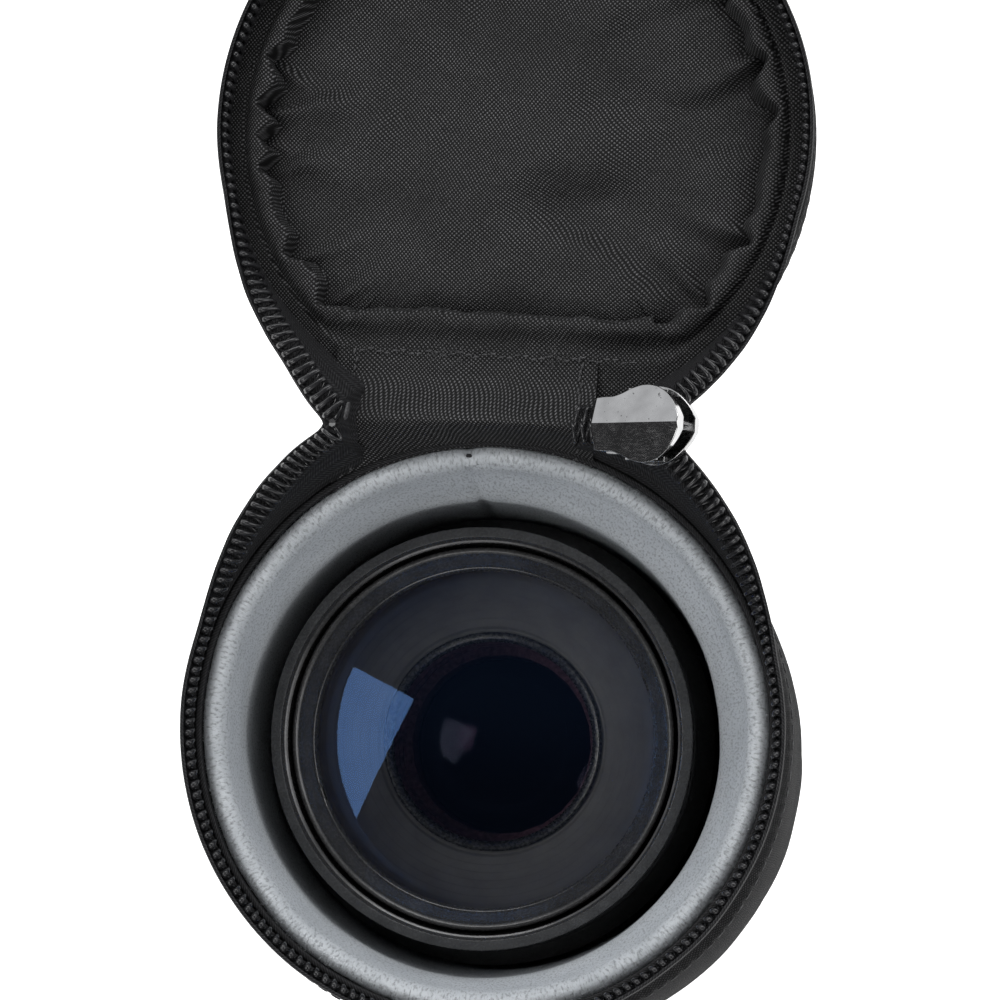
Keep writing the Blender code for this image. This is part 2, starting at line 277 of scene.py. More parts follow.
class Nodes:
    """Builds a node tree. Values may be numbers, colours or sockets."""

    def __init__(self, tree):
        self.tree = tree

    def give(self, socket, value):
        if isinstance(value, bpy.types.NodeSocket):
            self.tree.links.new(value, socket)
        elif isinstance(value, tuple) and len(value) == 3 and socket.type == "RGBA":
            socket.default_value = (*value, 1.0)
        else:
            socket.default_value = value

    def put(self, node, **values):
        for key, value in values.items():
            self.give(node.inputs[key.replace("_", " ")], value)

    def node(self, kind, **settings):
        made = self.tree.nodes.new("ShaderNode" + kind)
        for key, value in settings.items():
            setattr(made, key, value)
        return made

    def calculate(self, kind, operation, *values, **settings):
        """A math node of either kind, fed by its inputs' order."""
        made = self.node(kind, operation=operation, **settings)
        for socket, value in zip(made.inputs, values):
            self.give(socket, value)
        return made.outputs[0]

    def math(self, operation, a, b=0.0, clamp=False):
        return self.calculate("Math", operation, a, b, use_clamp=clamp)

    def times(self, a, b, clamp=False):
        return self.math("MULTIPLY", a, b, clamp)

    def plus(self, a, b):
        return self.math("ADD", a, b)

    def split(self, vector):
        made = self.node("SeparateXYZ")
        self.give(made.inputs[0], vector)
        return made.outputs

    def mix(self, factor, a, b):
        made = self.node("Mix", data_type="RGBA")
        self.put(made, Factor=factor, A=a, B=b)
        return made.outputs["Result"]

    def ramp(self, value, low, high, to_low=0.0, to_high=1.0, kind="LINEAR"):
        made = self.node("MapRange", interpolation_type=kind)
        self.put(made, Value=value, From_Min=low, From_Max=high, To_Min=to_low, To_Max=to_high)
        return made.outputs[0]

    def scaled(self, vector, scale, turn=0.0):
        made = self.node("Mapping")
        self.put(made, Vector=vector, Scale=scale, Rotation=(0, 0, turn))
        return made.outputs[0]

    def noise(self, vector, scale, detail=2.0, output="Fac"):
        made = self.node("TexNoise")
        self.put(made, Vector=vector, Scale=scale, Detail=detail)
        return made.outputs[output]


class Shader(Nodes):
    """A node material round one Principled node."""

    def __init__(self, name, **values):
        self.mat = bpy.data.materials.new(name)
        self.mat.use_nodes = True
        super().__init__(self.mat.node_tree)
        self.main = self.tree.nodes["Principled BSDF"]
        self.put(self.main, **values)

    def cloth(self):
        """The cloth's own coordinates, in mm along the mesh."""
        return self.node("UVMap", uv_map="cloth").outputs["UV"]

    def place(self):
        """Object coordinates, in metres."""
        return self.node("TexCoord").outputs["Object"]

    def bump(self, height, strength, distance_mm):
        made = self.node("Bump")
        self.put(made, Strength=strength, Distance=distance_mm * MM, Height=height)
        self.put(self.main, Normal=made.outputs[0])


def woven(name, pitch, dark, bright, wander=1.0, strength=0.6, rough=0.62, gloss=0.35):
    """Plain weave: a checkerboard of threads, with the raised ones painted lighter as a painted highlight."""
    s = Shader(name, Specular_IOR_Level=gloss)
    cloth = s.cloth()
    drift = s.noise(cloth, 0.16, 1.0, "Color")
    centred = s.calculate("VectorMath", "SUBTRACT", drift, (0.5, 0.5, 0.5))
    moved = s.calculate("VectorMath", "MULTIPLY_ADD", centred, (wander, wander, 0), cloth)
    waves = [s.math("SINE", s.times(axis, pi / pitch)) for axis in list(s.split(moved))[:2]]
    both = s.times(*waves)
    over = s.math("POWER", s.math("MAXIMUM", both, 0.0), 1.3)
    under = s.math("POWER", s.math("MAXIMUM", s.times(both, -1.0), 0.0), 0.7)
    grain = s.noise(s.scaled(cloth, (1, 0.25, 1)), 3.0, 3.0)
    # lit: painted highlight, how much lighter colour each raised thread gets
    lit = s.times(over, s.ramp(grain, 0.3, 0.7, 0.55, 1.25), clamp=True)
    patches = s.ramp(s.noise(cloth, 0.07, 2.0), 0.3, 0.7, 0.75, 1.2)
    shade = s.node("VectorMath", operation="SCALE")
    s.put(shade, Vector=s.mix(lit, dark, bright), Scale=patches)
    s.put(s.main, Base_Color=shade.outputs[0], Roughness=s.ramp(lit, 0, 1, rough + 0.15, rough - 0.1))
    s.bump(s.plus(over, s.times(under, 0.6)), strength, pitch * 0.35)
    return s.mat


def ribbed_tape(name, pitch, dark, bright):
    """Zip tape: a fine twill with ribs along it, the raised parts painted lighter as a painted highlight."""
    s = Shader(name, Specular_IOR_Level=0.3)
    along, across, _ = s.split(s.cloth())
    zigzag = s.math("PINGPONG", across, pitch * 4)
    slanted = s.math("SINE", s.times(s.plus(along, zigzag), tau / pitch / 1.6))
    ribs = s.math("SINE", s.times(across, tau / pitch / 2))
    height = s.plus(s.times(slanted, 0.5), s.times(ribs, 0.3))
    grain = s.noise(s.cloth(), 2.2, 3.0)
    # lit: painted highlight on the raised twill and ribs
    lit = s.times(s.ramp(height, -0.5, 0.8), s.ramp(grain, 0.35, 0.7, 0.4, 1.3), clamp=True)
    s.put(s.main, Base_Color=s.mix(lit, dark, bright), Roughness=s.ramp(lit, 0, 1, 0.8, 0.6))
    s.bump(height, 0.6, 0.1)
    return s.mat


def fleece(name, dark, middle, light):
    """Brushed tricot: pale and matt, with short dark flecks down the cloth and a soft nap."""
    s = Shader(name, Sheen_Weight=0.35, Sheen_Roughness=0.5, Specular_IOR_Level=0.15, Roughness=0.95)
    s.put(s.main, Sheen_Tint=(0.8, 0.85, 0.9))
    cloth = s.cloth()
    flecks = s.noise(s.scaled(cloth, (2.6, 0.9, 1)), 1.0, 4.0)
    fine = s.noise(s.scaled(cloth, (4.5, 3.0, 1)), 1.0, 3.0)
    tone = s.mix(s.ramp(s.noise(cloth, 0.11, 3.0), 0.3, 0.7), middle, light)
    mark = s.times(s.ramp(flecks, 0.5, 0.38), s.ramp(fine, 0.4, 0.6, 0.5, 1.0), clamp=True)
    s.put(s.main, Base_Color=s.mix(s.times(mark, 0.75), tone, dark))
    s.bump(s.plus(s.times(flecks, 0.8), s.times(fine, 0.5)), 0.7, 0.35)
    return s.mat


def speckled(name, dark, light, size, rough, metallic=0.0, grain=0.05, **values):
    """A moulded, cast or anodised surface: colour and roughness vary a little, over a fine grain."""
    s = Shader(name, Metallic=metallic, **values)
    place = s.place()
    tone = s.ramp(s.noise(place, 1 / (size * MM), 3.0), 0.3, 0.7)
    fine = s.noise(place, 6 / (size * MM))
    s.put(s.main, Base_Color=s.mix(tone, dark, light))
    s.put(s.main, Roughness=s.ramp(fine, 0.3, 0.7, rough * 0.8, rough * 1.2))
    s.bump(fine, 0.25, grain)
    return s.mat


def plated(name, dark, light, rough):
    """Polished plate with hairline scratches and a few pits."""
    s = Shader(name, Metallic=1.0)
    place = s.place()
    lines = s.noise(s.scaled(place, (300, 4000, 2000), 0.3), 1.0, 3.0)
    smear = s.noise(place, 350.0, 3.0)
    pits = s.ramp(s.noise(place, 1500.0), 0.68, 0.74)
    tone = s.mix(s.ramp(smear, 0.3, 0.7), dark, light)
    s.put(s.main, Base_Color=s.mix(s.times(pits, 0.7), tone, (0.05, 0.05, 0.05)))
    worn = s.ramp(smear, 0.3, 0.7, rough * 0.7, rough * 1.3)
    s.put(s.main, Roughness=s.plus(s.ramp(lines, 0.4, 0.7, 0.0, 0.12), worn))
    s.bump(s.math("SUBTRACT", s.times(lines, 0.3), pits), 0.15, 0.02)
    return s.mat


def coated_glass(name, tint, mirror, ior, haze):
    """A glass face: clear apart from a tinted reflection, stronger at a glancing angle."""
    s = Shader(name)
    clear = s.node("BsdfTransparent")
    s.put(clear, Color=tint)
    gloss = s.node("BsdfGlossy")
    dust = s.ramp(s.noise(s.place(), 500.0, 3.0), 0.55, 0.75, haze * 0.2, haze)
    s.put(gloss, Color=mirror, Roughness=dust)
    edge = s.node("Fresnel")
    s.put(edge, IOR=ior)
    mixed = s.node("MixShader")
    for socket, source in zip(mixed.inputs, (edge, clear, gloss)):
        s.give(socket, source.outputs[0])
    s.tree.nodes.remove(s.main)
    s.put(s.tree.nodes["Material Output"], Surface=mixed.outputs[0])
    return s.mat


def grey(value, blue=0.0):
    """A neutral colour, with a little more blue where it is given."""
    return (value, value, value + blue)


# Inner cells and iris blades: a plum tint, lightened well past black as painted fill light, standing in for
# light that hardly reaches inside the lens
PLUM_TINT_WITH_PAINTED_FILL = ((0.1, 0.078, 0.088), (0.24, 0.19, 0.22))

LINING = woven("lining_nylon", 0.33, grey(0.0012, 0.0002), grey(0.155, 0.005))
OUTER = woven("outer_nylon", 0.36, grey(0.002, 0.0005), grey(0.03, 0.002), strength=0.8, gloss=0.06)
TAPE = ribbed_tape("zip_tape", 0.34, grey(0.003, 0.0005), grey(0.042, 0.003))
FLEECE = fleece("grey_fleece", (0.2, 0.21, 0.22), (0.52, 0.548, 0.575), (0.64, 0.668, 0.695))
COIL = speckled("coil_nylon", grey(0.01, 0.001), grey(0.028, 0.002), 1.5, 0.18, grain=0.02)
THREAD = speckled("black_thread", grey(0.015, 0.001), grey(0.1, 0.004), 0.4, 0.75)
ZINC = plated("nickel_plate", grey(0.44), grey(0.56), 0.1)
ANODISED = speckled("black_anodised", grey(0.03, 0.001), grey(0.045, 0.001), 3.0, 0.34, 0.35, 0.01)
SATIN = speckled("satin_black", grey(0.07, 0.001), grey(0.1, 0.001), 3.0, 0.27, 0.6, 0.005)
BAFFLE = speckled("baffle_grey", grey(0.2, 0.005), grey(0.24, 0.005), 4.0, 0.7, grain=0.02)
CELL = speckled("cell_black", *PLUM_TINT_WITH_PAINTED_FILL, 0.7, 0.5, grain=0.01)
RUBBER = speckled("grip_rubber", grey(0.025), grey(0.045), 1.2, 0.72, grain=0.06)
PLASTIC = speckled("cap_plastic", grey(0.012, 0.001), grey(0.02, 0.002), 1.0, 0.5)
STEEL = plated("turned_steel", (0.5, 0.5, 0.5), (0.62, 0.61, 0.6), 0.22)
BLADE = speckled("blade_steel", *PLUM_TINT_WITH_PAINTED_FILL, 0.7, 0.5, 0.1, 0.01)
FOAM = speckled("foam", grey(0.03, 0.002), grey(0.06, 0.005), 0.8, 0.9, grain=0.2)
BOARD = speckled("fibre_board", (0.16, 0.13, 0.1), (0.24, 0.2, 0.15), 2.0, 0.85, grain=0.1)
WHITE_MARK = speckled("white_paint", grey(0.65, -0.02), grey(0.75, -0.02), 1.0, 0.5, grain=0.02)
RED_MARK = speckled("red_paint", (0.45, 0.02, 0.015), (0.55, 0.03, 0.02), 1.0, 0.45, grain=0.02)
FRONT_GLASS = coated_glass("front_glass", (0.9, 0.9, 0.89), (0.2, 0.42, 0.95), 1.46, 0.012)
INNER_GLASS = coated_glass("inner_glass", (0.88, 0.78, 0.82), (0.4, 0.42, 0.6), 1.22, 0.01)

# ---------------------------------------------------------------- the zip

UP = np.array((0, 0, 1))
PITCH = 1.57
CHAIN_END_DEG = 27.4
FLARE_FROM_DEG = 75.0
FLARE = 5.8
RISE = 10.0
FLARE_LEAN_DEG = 82.0
COIL_LOW = -2.2
COIL_HALF = 1.45
TOOTH_DEPTH = 0.5
WIRE_R = 0.36
WIRE_SWELL = 0.17
TURN_SAMPLES = 12
TAPE_DEG = (15.0, 335.0)
TAPE_STEP = 0.8
TAPE_PAST = 2.1
TAPE_DIP = 3.2
DROOP = 1.9
DROOP_X = -24.7


def degrees_off(azimuth_deg):
    """An azimuth's signed distance from the hinge's middle."""
    return (azimuth_deg + 180) % 360 - 180


def flare_at(azimuth_deg):
    """How far along its flare the zip is: 0 round most of the rim, 1 at the chain's end."""
    off = abs(degrees_off(azimuth_deg))
    return min(max((FLARE_FROM_DEG - off) / (FLARE_FROM_DEG - CHAIN_END_DEG), 0), 1)


def zip_frame(azimuth_deg):
    """The middle of the coil, the way its teeth point, and the way out of the case from it."""
    off = degrees_off(azimuth_deg)
    if abs(off) < CHAIN_END_DEG:
        return chain_end_frame(off)
    t = flare_at(azimuth_deg)
    out = outward(radians(azimuth_deg))
    radius = COIL_R + FLARE * t**1.6 + 0.12 * bumps(*(out * 40), 9.0, 3.1)
    height = RIM_Z + COIL_LOW + RISE * t**1.9 + 0.2 * bumps(*(out * 40), 12.0, 7.7)
    lean = radians(FLARE_LEAN_DEG) * smooth(t**0.8)
    teeth = sin(lean) * out + cos(lean) * UP
    behind = cos(lean) * out - sin(lean) * UP
    return out * radius + height * UP, teeth, behind


def chain_end_frame(off_deg):
    """Past the flare, the chain runs along the hinge line and sinks towards the hinge's cloth."""
    reach = (COIL_R + FLARE) * sin(radians(CHAIN_END_DEG))
    x = reach * off_deg / CHAIN_END_DEG
    sink = 0.45 if x > 0 else 2.4
    z = RIM_Z + COIL_LOW + RISE - sink * (reach - abs(x))
    return np.array((x, HINGE_Y - 1.2, z)), np.array((0, 1.0, 0)), np.array((0, 0, -1.0))


def zip_path(start_deg, end_deg, spacing):
    """Azimuths at equal steps along the coil."""
    dense = np.linspace(start_deg, end_deg, 1500)
    places = np.array([zip_frame(a)[0] for a in dense])
    run = np.concatenate([[0], np.cumsum(np.linalg.norm(np.diff(places, axis=0), axis=1))])
    count = int(run[-1] / spacing)
    return np.interp(np.arange(count + 1) * spacing, run, dense)


def coil_points(start_deg, end_deg):
    """The coil's wire: one flat turn a tooth, thickest at the head."""
    path, radii = [], []
    for i, azimuth in enumerate(zip_path(start_deg, end_deg, PITCH / TURN_SAMPLES)):
        centre, teeth, _ = zip_frame(azimuth)
        ahead = unit(zip_frame(azimuth + 0.1)[0] - zip_frame(azimuth - 0.1)[0])
        teeth = unit(teeth - ahead * (teeth @ ahead))
        side = np.cross(ahead, teeth)
        turn = tau * i / TURN_SAMPLES
        path.append(centre + COIL_HALF * cos(turn) * teeth + TOOTH_DEPTH * sin(turn) * side)
        radii.append(WIRE_R + WIRE_SWELL * max(cos(turn), 0) ** 2)
    return np.array(path), np.array(radii)


def drooped(points):
    """The chain's left end hangs a little towards the case, off the hinge line."""
    points = np.array(points, float)
    x, y = points[..., 0], points[..., 1]
    off = ((x - DROOP_X) / 8) ** 2 + ((y - HINGE_Y) / 9) ** 2
    beyond = np.minimum(np.hypot(x, y), np.hypot(x, y - LID_Y)) - 44.5
    points[..., 1] -= DROOP * np.exp(-off) * np.clip(beyond / 4, 0, 1)
    return points


def build_zip_halves():
    """The coil and tape on the case, and their mirror images on the lid."""
    coil = tube_rings(*coil_points(CHAIN_END_DEG + 3.5, 360 - CHAIN_END_DEG), 6)
    tape = tape_points(*TAPE_DEG)
    for thing, points, mat, sharp in (("coil", coil, COIL, 80), ("tape", tape, TAPE, 50)):
        for name, node, placed in (("case", "body", points), ("lid", "lid", mirrored(points))):
            piece = tube(f"{thing}_on_{name}", drooped(placed), mat, None, sharp)
            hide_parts(f"zip_{thing}_{node}")
            across_hinge(piece)


def across_hinge(piece):
    """Bakes the piece's placement into its mesh. The ends of a band 10 mm either side of the hinge line are
    worked out but not used, so the piece does not bend with the lid.
    """
    ends = [(0, (HINGE_Y + reach) * MM, RIM_Z * MM) for reach in (-10.0, 10.0)]
    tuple(ends[0])
    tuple(ends[1])
    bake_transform(piece)


def tape_points(start_deg, end_deg):
    """The zip tape's section at steps round the rim: sewn inside the wall, then out behind the coil."""
    rows = []
    for azimuth_deg in zip_path(start_deg, end_deg, TAPE_STEP):
        out = outward(radians(azimuth_deg))
        centre, teeth, behind = zip_frame(azimuth_deg)
        sewn = ((1.2, -0.8), (1.0, 0.6), (0.2, 2.0))
        foot, low, bend = (out * (WALL_R - inset) + (WALL_TOP + up) * UP for inset, up in sewn)
        root = centre - 1.6 * teeth + 0.75 * behind
        line = [foot, low] + [bezier(low, bend, root, (k + 1) / 6) for k in range(6)]
        for past, back in ((0, 0.95), (1.5, 1.0), (TAPE_PAST, 0.8)):
            line.append(centre + past * teeth + back * behind)
        short_of_end = 360 - CHAIN_END_DEG - azimuth_deg
        line = np.array(line) - TAPE_DIP * smooth(-short_of_end / 1.5) * UP
        line[-1] += teeth * smooth((3 - abs(short_of_end)) / 3)
        ripple = 0.2 * bumps(azimuth_deg, 0, 0, 5.0, 1.3) * flare_at(azimuth_deg)
        rows.append(thick_line(line + out * ripple, out, 0.22))
    return np.array(rows)


def thick_line(line, out, half):
    """A closed section round a line that lies in the plane of out and the vertical."""
    along = np.gradient(line, axis=0)
    along /= np.linalg.norm(along, axis=1)[:, None]
    sideways = half * np.cross(np.cross(out, UP), along)
    return np.concatenate([line + sideways, (line - sideways)[::-1]])


# ---------------------------------------------------------------- the case

WALL_T = 0.9
WALL_FOOT = 2.6
BULGE_TOWARDS_DEG = 140.0
PIPING_R = 1.0
PIPING_RISE = 1.35
FLOOR_Z = 10.0
FLEECE_IN = FLEECE_R - 0.25
FLEECE_SEAM = radians(-6.3)
FLEECE_CLEARANCE = 0.9
LIP_R, LIP_ACROSS = 41.15, 1.8
LIP_DROP, LIP_UP = 3.6, 3.5


def soft_wall(azimuth, r, z):
    """A padded wall bulges between its seams, more towards its front right, and dents a little."""
    if r < WALL_R - 0.4:
        return r, z
    height = (z - 2.5) / (WALL_TOP - 2.5)
    bulge = sin(pi * min(max(height, 0), 1)) ** 0.45
    towards = cos(azimuth - radians(BULGE_TOWARDS_DEG))
    lean = 1.1 + 1.5 * towards + 2.4 * max(towards, 0) ** 2
    x, y = sin(azimuth) * 45, cos(azimuth) * 45
    dent = 0.7 * bumps(x, y, z, 26.0, 4.2) + 0.25 * bumps(x, y, z, 9.0, 1.2)
    return r + bulge * (lean + dent) * (1 - flat_back(azimuth)), z


def flat_back(azimuth):
    """1 at the side that faces the hinge, where the walls stay straight, and 0 elsewhere."""
    return smooth((cos(azimuth) - 0.8) / 0.15)


def wall_outline(low, high, rows):
    """The wall's section, with rows of points up its outside so that it can swell."""
    outline = [(WALL_R, low + (high - low) * i / rows) for i in range(rows + 1)]
    return outline + [(WALL_R - WALL_T, high), (WALL_R - WALL_T, low)]


def build_case():
    """The padded wall, its base, piping and stitches, and the fleece inside it."""
    outline = wall_outline(WALL_FOOT, WALL_TOP + 0.6, 40)
    lathe("case_wall", outline, OUTER, "case", 180, bevel=0.3, shape=soft_wall, replaces=["shell_wall"])
    build_piping("case_foot_piping", "case", 0, PIPING_RISE, "base_piping")
    base = [(0, 0), (43.2, 0), (43.5, 0.5), (43.2, 1.2), (0, 1.2)]
    lathe("case_base", base, OUTER, "case", 180, bevel=0.4, replaces=["base_panel"])
    ring_stitches("case_rim_stitches", "case", 0, WALL_R + 0.35, WALL_TOP - 1.6, 2.3)
    ring_stitches("case_foot_stitches", "case", 0, WALL_R + 0.35, 4.4, 2.6)
    build_fleece()


def build_piping(name, body, centre_y, z, node):
    """A cord covered with cloth round an edge."""
    outline = [(WALL_R - 0.55 + PIPING_R * c, z + PIPING_R * s) for c, s in circle(12)]

    def ripple(azimuth, r, height):
        return r + 0.05 * sin(azimuth * 110), height + 0.04 * cos(azimuth * 97)

    lathe(name, outline, TAPE, body, 360, (0, centre_y), 0.1, ripple, replaces=[node])


def fleece_lean(azimuth, z):
    """How far the padded fleece leans in below its lip, up to the room that the lens leaves it."""
    lens_reach = LENS_R + LENS_AXIS[0] * sin(azimuth) + LENS_AXIS[1] * cos(azimuth)
    room = FLEECE_IN - lens_reach - FLEECE_CLEARANCE
    return max(room, 0) * smooth((115 - z) / 20) * smooth((z - 12) / 12)


def soft_fleece(azimuth, r, z):
    """Fleece over foam: soft swells, a rolled lip, and a groove where its ends are sewn together."""
    x, y = sin(azimuth) * 42, cos(azimuth) * 42
    swell = 0.35 * bumps(x, y, z, 16.0, 2.4) + 0.12 * bumps(x, y, z, 4.0, 5.4)
    lip = smooth((z - 113) / 5)
    edge = 0.4 * bumps(x, y, 0, 7.0, 9.1) * lip
    off = (azimuth - FLEECE_SEAM + pi) % tau - pi
    groove = exp(-((off * 41 / 0.5) ** 2))
    deep = 1.15 * groove if z > 12 else 0
    moved = deep - fleece_lean(azimuth, z) if r < 40 else -0.4 * groove
    return r + swell * 0.5 + moved + edge * 0.4, z + edge * 0.5 - 0.7 * groove * lip


def build_fleece():
    """The fleece wall with its rolled lip, the fleece floor, and the tape that binds the rim."""
    top = height_of("wall_lining")[1]
    inner = [(FLEECE_IN, FLOOR_Z + (top - 18) * i / 30) for i in range(31)]
    lip = []
    for k in range(17):
        turn = pi - pi * 1.12 * k / 16
        lip.append((LIP_R + LIP_ACROSS * cos(turn), top - LIP_DROP + LIP_UP * max(sin(turn), -0.5)))
    outline = inner + lip + [(42.4, 116.0), (40.1, 115.0), (40.1, FLOOR_Z)]
    lathe("fleece_wall", outline, FLEECE, "case", 260, bevel=0.2, shape=soft_fleece, replaces=["wall_lining"])
    floor = [(0, 9.1), (38.6, 9.1), (39.0, 9.4), (38.6, 9.8), (20, 9.9), (0, 9.9)]
    lathe("fleece_floor", floor, FLEECE, "case", 144, bevel=0.2, replaces=["base_lining"])
    build_fleece_nap(top)
    rim = [(42.9, 116.8), (43.9, 116.8), (43.9, 119.6), (43.3, 120.0), (42.8, 119.5)]
    lathe("rim_tape", rim, TAPE, "case", 180, bevel=0.3, replaces=["rim_binding"])
    build_fleece_seam(top)


def build_fleece_seam(top):
    """Stitches down the groove where the fleece's ends meet, with a knot at its lip."""
    seam = []
    for k in range(26):
        z = top - 2.0 - 1.6 * k
        turn = FLEECE_SEAM + 0.004 * sin(k * 2.1)
        r = soft_fleece(turn, FLEECE_IN, z)[0] - 0.3
        seam.append(r * outward(turn) + z * UP)
    stitch_marks("fleece_seam_stitches", seam, UP, 0.55, 0.12, "case")
    knot = 41.3 * outward(FLEECE_SEAM) + (top - 0.4) * UP
    stitch_marks("fleece_seam_knot", [knot, knot], (1, 0, 0), 0.45, 0.32, "case")


def build_fleece_nap(top):
    """Loose fibres along the fleece's rolled lip."""
    rng = np.random.default_rng(7)
    count = 5200
    azimuths = rng.uniform(0, tau, count)
    turns = rng.uniform(0.05, 0.98, count) * pi
    verts, faces = [], []
    for azimuth, turn in zip(azimuths, turns):
        r, z = LIP_R - LIP_ACROSS * cos(turn), top - LIP_DROP + LIP_UP * sin(turn)
        r, z = soft_fleece(azimuth, r, z)
        out = outward(azimuth)
        along = np.array((out[1], -out[0], 0))
        normal = -cos(turn) * out + sin(turn) * UP
        lean = normal + rng.normal(0, 0.55) * along + rng.normal(0, 0.35) * out
        add_fibre(verts, faces, out * r + z * UP, lean, rng.uniform(0.25, 0.7), along)
    mesh_piece("fleece_nap", verts, faces, FLEECE, "case")


def add_fibre(verts, faces, root, lean, length, along):
    """One bent, pointed hair with three sides."""
    lean = unit(lean)
    side = np.cross(lean, along)
    base = len(verts)
    for step, thick in ((0.0, 0.035), (0.6, 0.025)):
        middle = root + lean * length * (step - 0.1) + along * 0.12 * length * step
        verts.extend(middle + thick * (c * along + s * side) for c, s in circle(3))
    verts.append(root + lean * length * 0.85 + along * 0.4 * length)
    for k in range(3):
        j = (k + 1) % 3
        faces.append((base + k, base + j, base + 3 + j, base + 3 + k))
        faces.append((base + 3 + k, base + 3 + j, base + 6))
    faces.append((base + 2, base + 1, base))


def mesh_piece(name, verts, faces, mat, body, replaces=(), sharp=60):
    """A mesh with cloth coordinates taken from its own x and y."""
    verts = np.asarray(verts, float)
    uvs = [tuple(verts[i][:2]) for face in faces for i in face]
    return finish_mesh(name, verts, [list(f) for f in faces], uvs, mat, body, replaces, sharp, False)


def stitch_marks(name, places, direction, half_length, radius, body):
    """Short rounded stitches along a line of places, each pointing along the line or a given direction."""
    places = np.array(places, float)
    verts, faces = [], []
    for i, place in enumerate(places):
        if direction is None:
            heading = places[(i + 1) % len(places)] - places[i - 1]
        else:
            heading = np.array(direction, float)
        add_capsule(verts, faces, place, unit(heading), half_length, radius)
    return mesh_piece(name, verts, faces, THREAD, body)


def add_capsule(verts, faces, middle, direction, half_length, radius):
    """A short six-sided rod with tapered ends."""
    side = unit(np.cross(direction, (0.31, 0.52, 0.79)))
    other = np.cross(direction, side)
    rings = []
    for step, width in ((-1.0, 0.35), (-0.75, 0.85), (0.0, 1.0), (0.75, 0.85), (1.0, 0.35)):
        centre = middle + direction * half_length * step
        rings.append([centre + radius * width * (c * side + s * other) for c, s in circle(6)])
    add_rings(verts, faces, rings)


def add_rings(verts, faces, rings):
    """Joins rings with equal counts of points into one skin, shut at both ends."""
    base, count = len(verts), len(rings[0])
    for ring in rings:
        verts.extend(ring)
    for a in range(base, len(verts) - count, count):
        for k in range(count):
            j = (k + 1) % count
            faces.append((a + k, a + j, a + count + j, a + count + k))
    faces.append(tuple(base + k for k in reversed(range(count))))
    faces.append(tuple(len(verts) - count + k for k in range(count)))


def ring_stitches(name, body, centre_y, radius, z, spacing):
    """Stitches round a wall, on the case's bulge or on the lid's straight side."""
    count = int(tau * radius / spacing)
    places = []
    for i in range(count):
        azimuth = tau * i / count
        r, height = soft_wall(azimuth, radius, z) if centre_y == 0 else (radius, z)
        places.append(r * outward(azimuth) + (0, centre_y, height))
    stitch_marks(name, places, None, spacing * 0.36, 0.17, body)


# ---------------------------------------------------------------- the lid

LID_SEAM = 10.9
LINING_R = 42.2
LINING_EDGE_Z = RIM_Z - 5.9
PANEL_Z = RIM_Z - 9.0
CREASE = 1.2
ROLL_SHARE = 0.72
FLANGE_ROWS = 5
INNER_ROWS = 42
PINCHES = (-134, -121, -100, -93.5, -86, -75, -48, -22, 6, 30, 52, 71, 83, 113, 130)
HOLLOWS = ((12.5, -11, 10, 4.5, 3.6), (30, 3, 8, 4, 3.2), (-6, 22, 8, 12, 2.0))
FOLD_FROM = 38.0


def lining_outline(count):
    """The lining's sewn edge round the lid, as points about its middle: a circle cut off near the hinge."""
    chord = HINGE_Y - LID_SEAM
    points = []
    for c, s in circle(count):
        radius = LINING_R
        if c < 0:
            cut = chord / -c
            radius = -0.6 * log(exp(-radius / 0.6) + exp(-cut / 0.6))
        points.append((radius * s, radius * c))
    looped = np.array(points + points[:1])
    run = np.concatenate([[0], np.cumsum(np.linalg.norm(np.diff(looped, axis=0), axis=1))])
    even = np.linspace(0, run[-1], count, endpoint=False)
    return np.stack([np.interp(even, run, looped[:, k]) for k in (0, 1)], axis=1)


def fold_height(x, y):
    """The slack panel's height: swells, hollows, and folds that run in from each pinch in its edge."""
    height = 1.0 - 1.2 * (hypot(x, y) / 36) ** 2
    height += 2.5 * bumps(x, y, 0, 17.0, 3.3) + 0.5 * bumps(x, y, 0, 6.0, 8.3)
    for px, py, wide, tall, depth in HOLLOWS:
        height -= depth * exp(-(((x - px) / wide) ** 2) - ((y - py) / tall) ** 2)
    for k, azimuth in enumerate(PINCHES):
        skew, strength = 0.35 * sin(2.7 * k), 2.4 + 0.7 * sin(1.9 * k)
        height += fold_from(x, y, radians(azimuth), skew, strength)
    return height


def fold_from(x, y, azimuth, skew, strength):
    """One fold that starts at the lid's edge and dies away towards its middle."""
    dx, dy = x - FOLD_FROM * sin(azimuth), y - FOLD_FROM * cos(azimuth)
    heading = azimuth + pi + skew
    ahead = dx * sin(heading) + dy * cos(heading)
    across = dx * cos(heading) - dy * sin(heading)
    if ahead < -6:
        return 0.0
    width = 1.3 + 0.13 * max(ahead, 0)
    along = exp(-max(ahead, 0) / 13.0) * smooth((ahead + 6) / 6)
    return strength * along * (across / width) * exp(-((across / width) ** 2))


def roll_width(azimuth_deg, run):
    """Width of the gathered roll, which narrows where the cloth is pinched."""
    width = 3.6 + 0.9 * bumps(run, 0, 0, 7.0, 2.2)
    for pinch in PINCHES:
        off = degrees_off(azimuth_deg - pinch)
        width *= 1 - 0.5 * exp(-((off / 2.2) ** 2))
        width += 0.8 * exp(-(((abs(off) - 4.5) / 2.4) ** 2))
    return min(width, 5.6)


def build_lid_lining():
    """From the wall inwards: a flat flange, a sewn strip, the gathered roll and the slack panel."""
    count = 900
    edge = lining_outline(count)
    tangent = np.roll(edge, -1, 0) - np.roll(edge, 1, 0)
    tangent /= np.linalg.norm(tangent, axis=1)[:, None]
    inward = np.stack([tangent[:, 1], -tangent[:, 0]], axis=1)
    rows = np.array([lining_row(edge[i], inward[i], i * 0.3) for i in range(count)])
    rows[..., 1] += LID_Y
    sheet = solidified(rows)
    ob = surface("lid_lining_cloth", sheet, LINING, "lid", True, weld=True, replaces=["lid_lining"])
    plane_coordinates(ob)


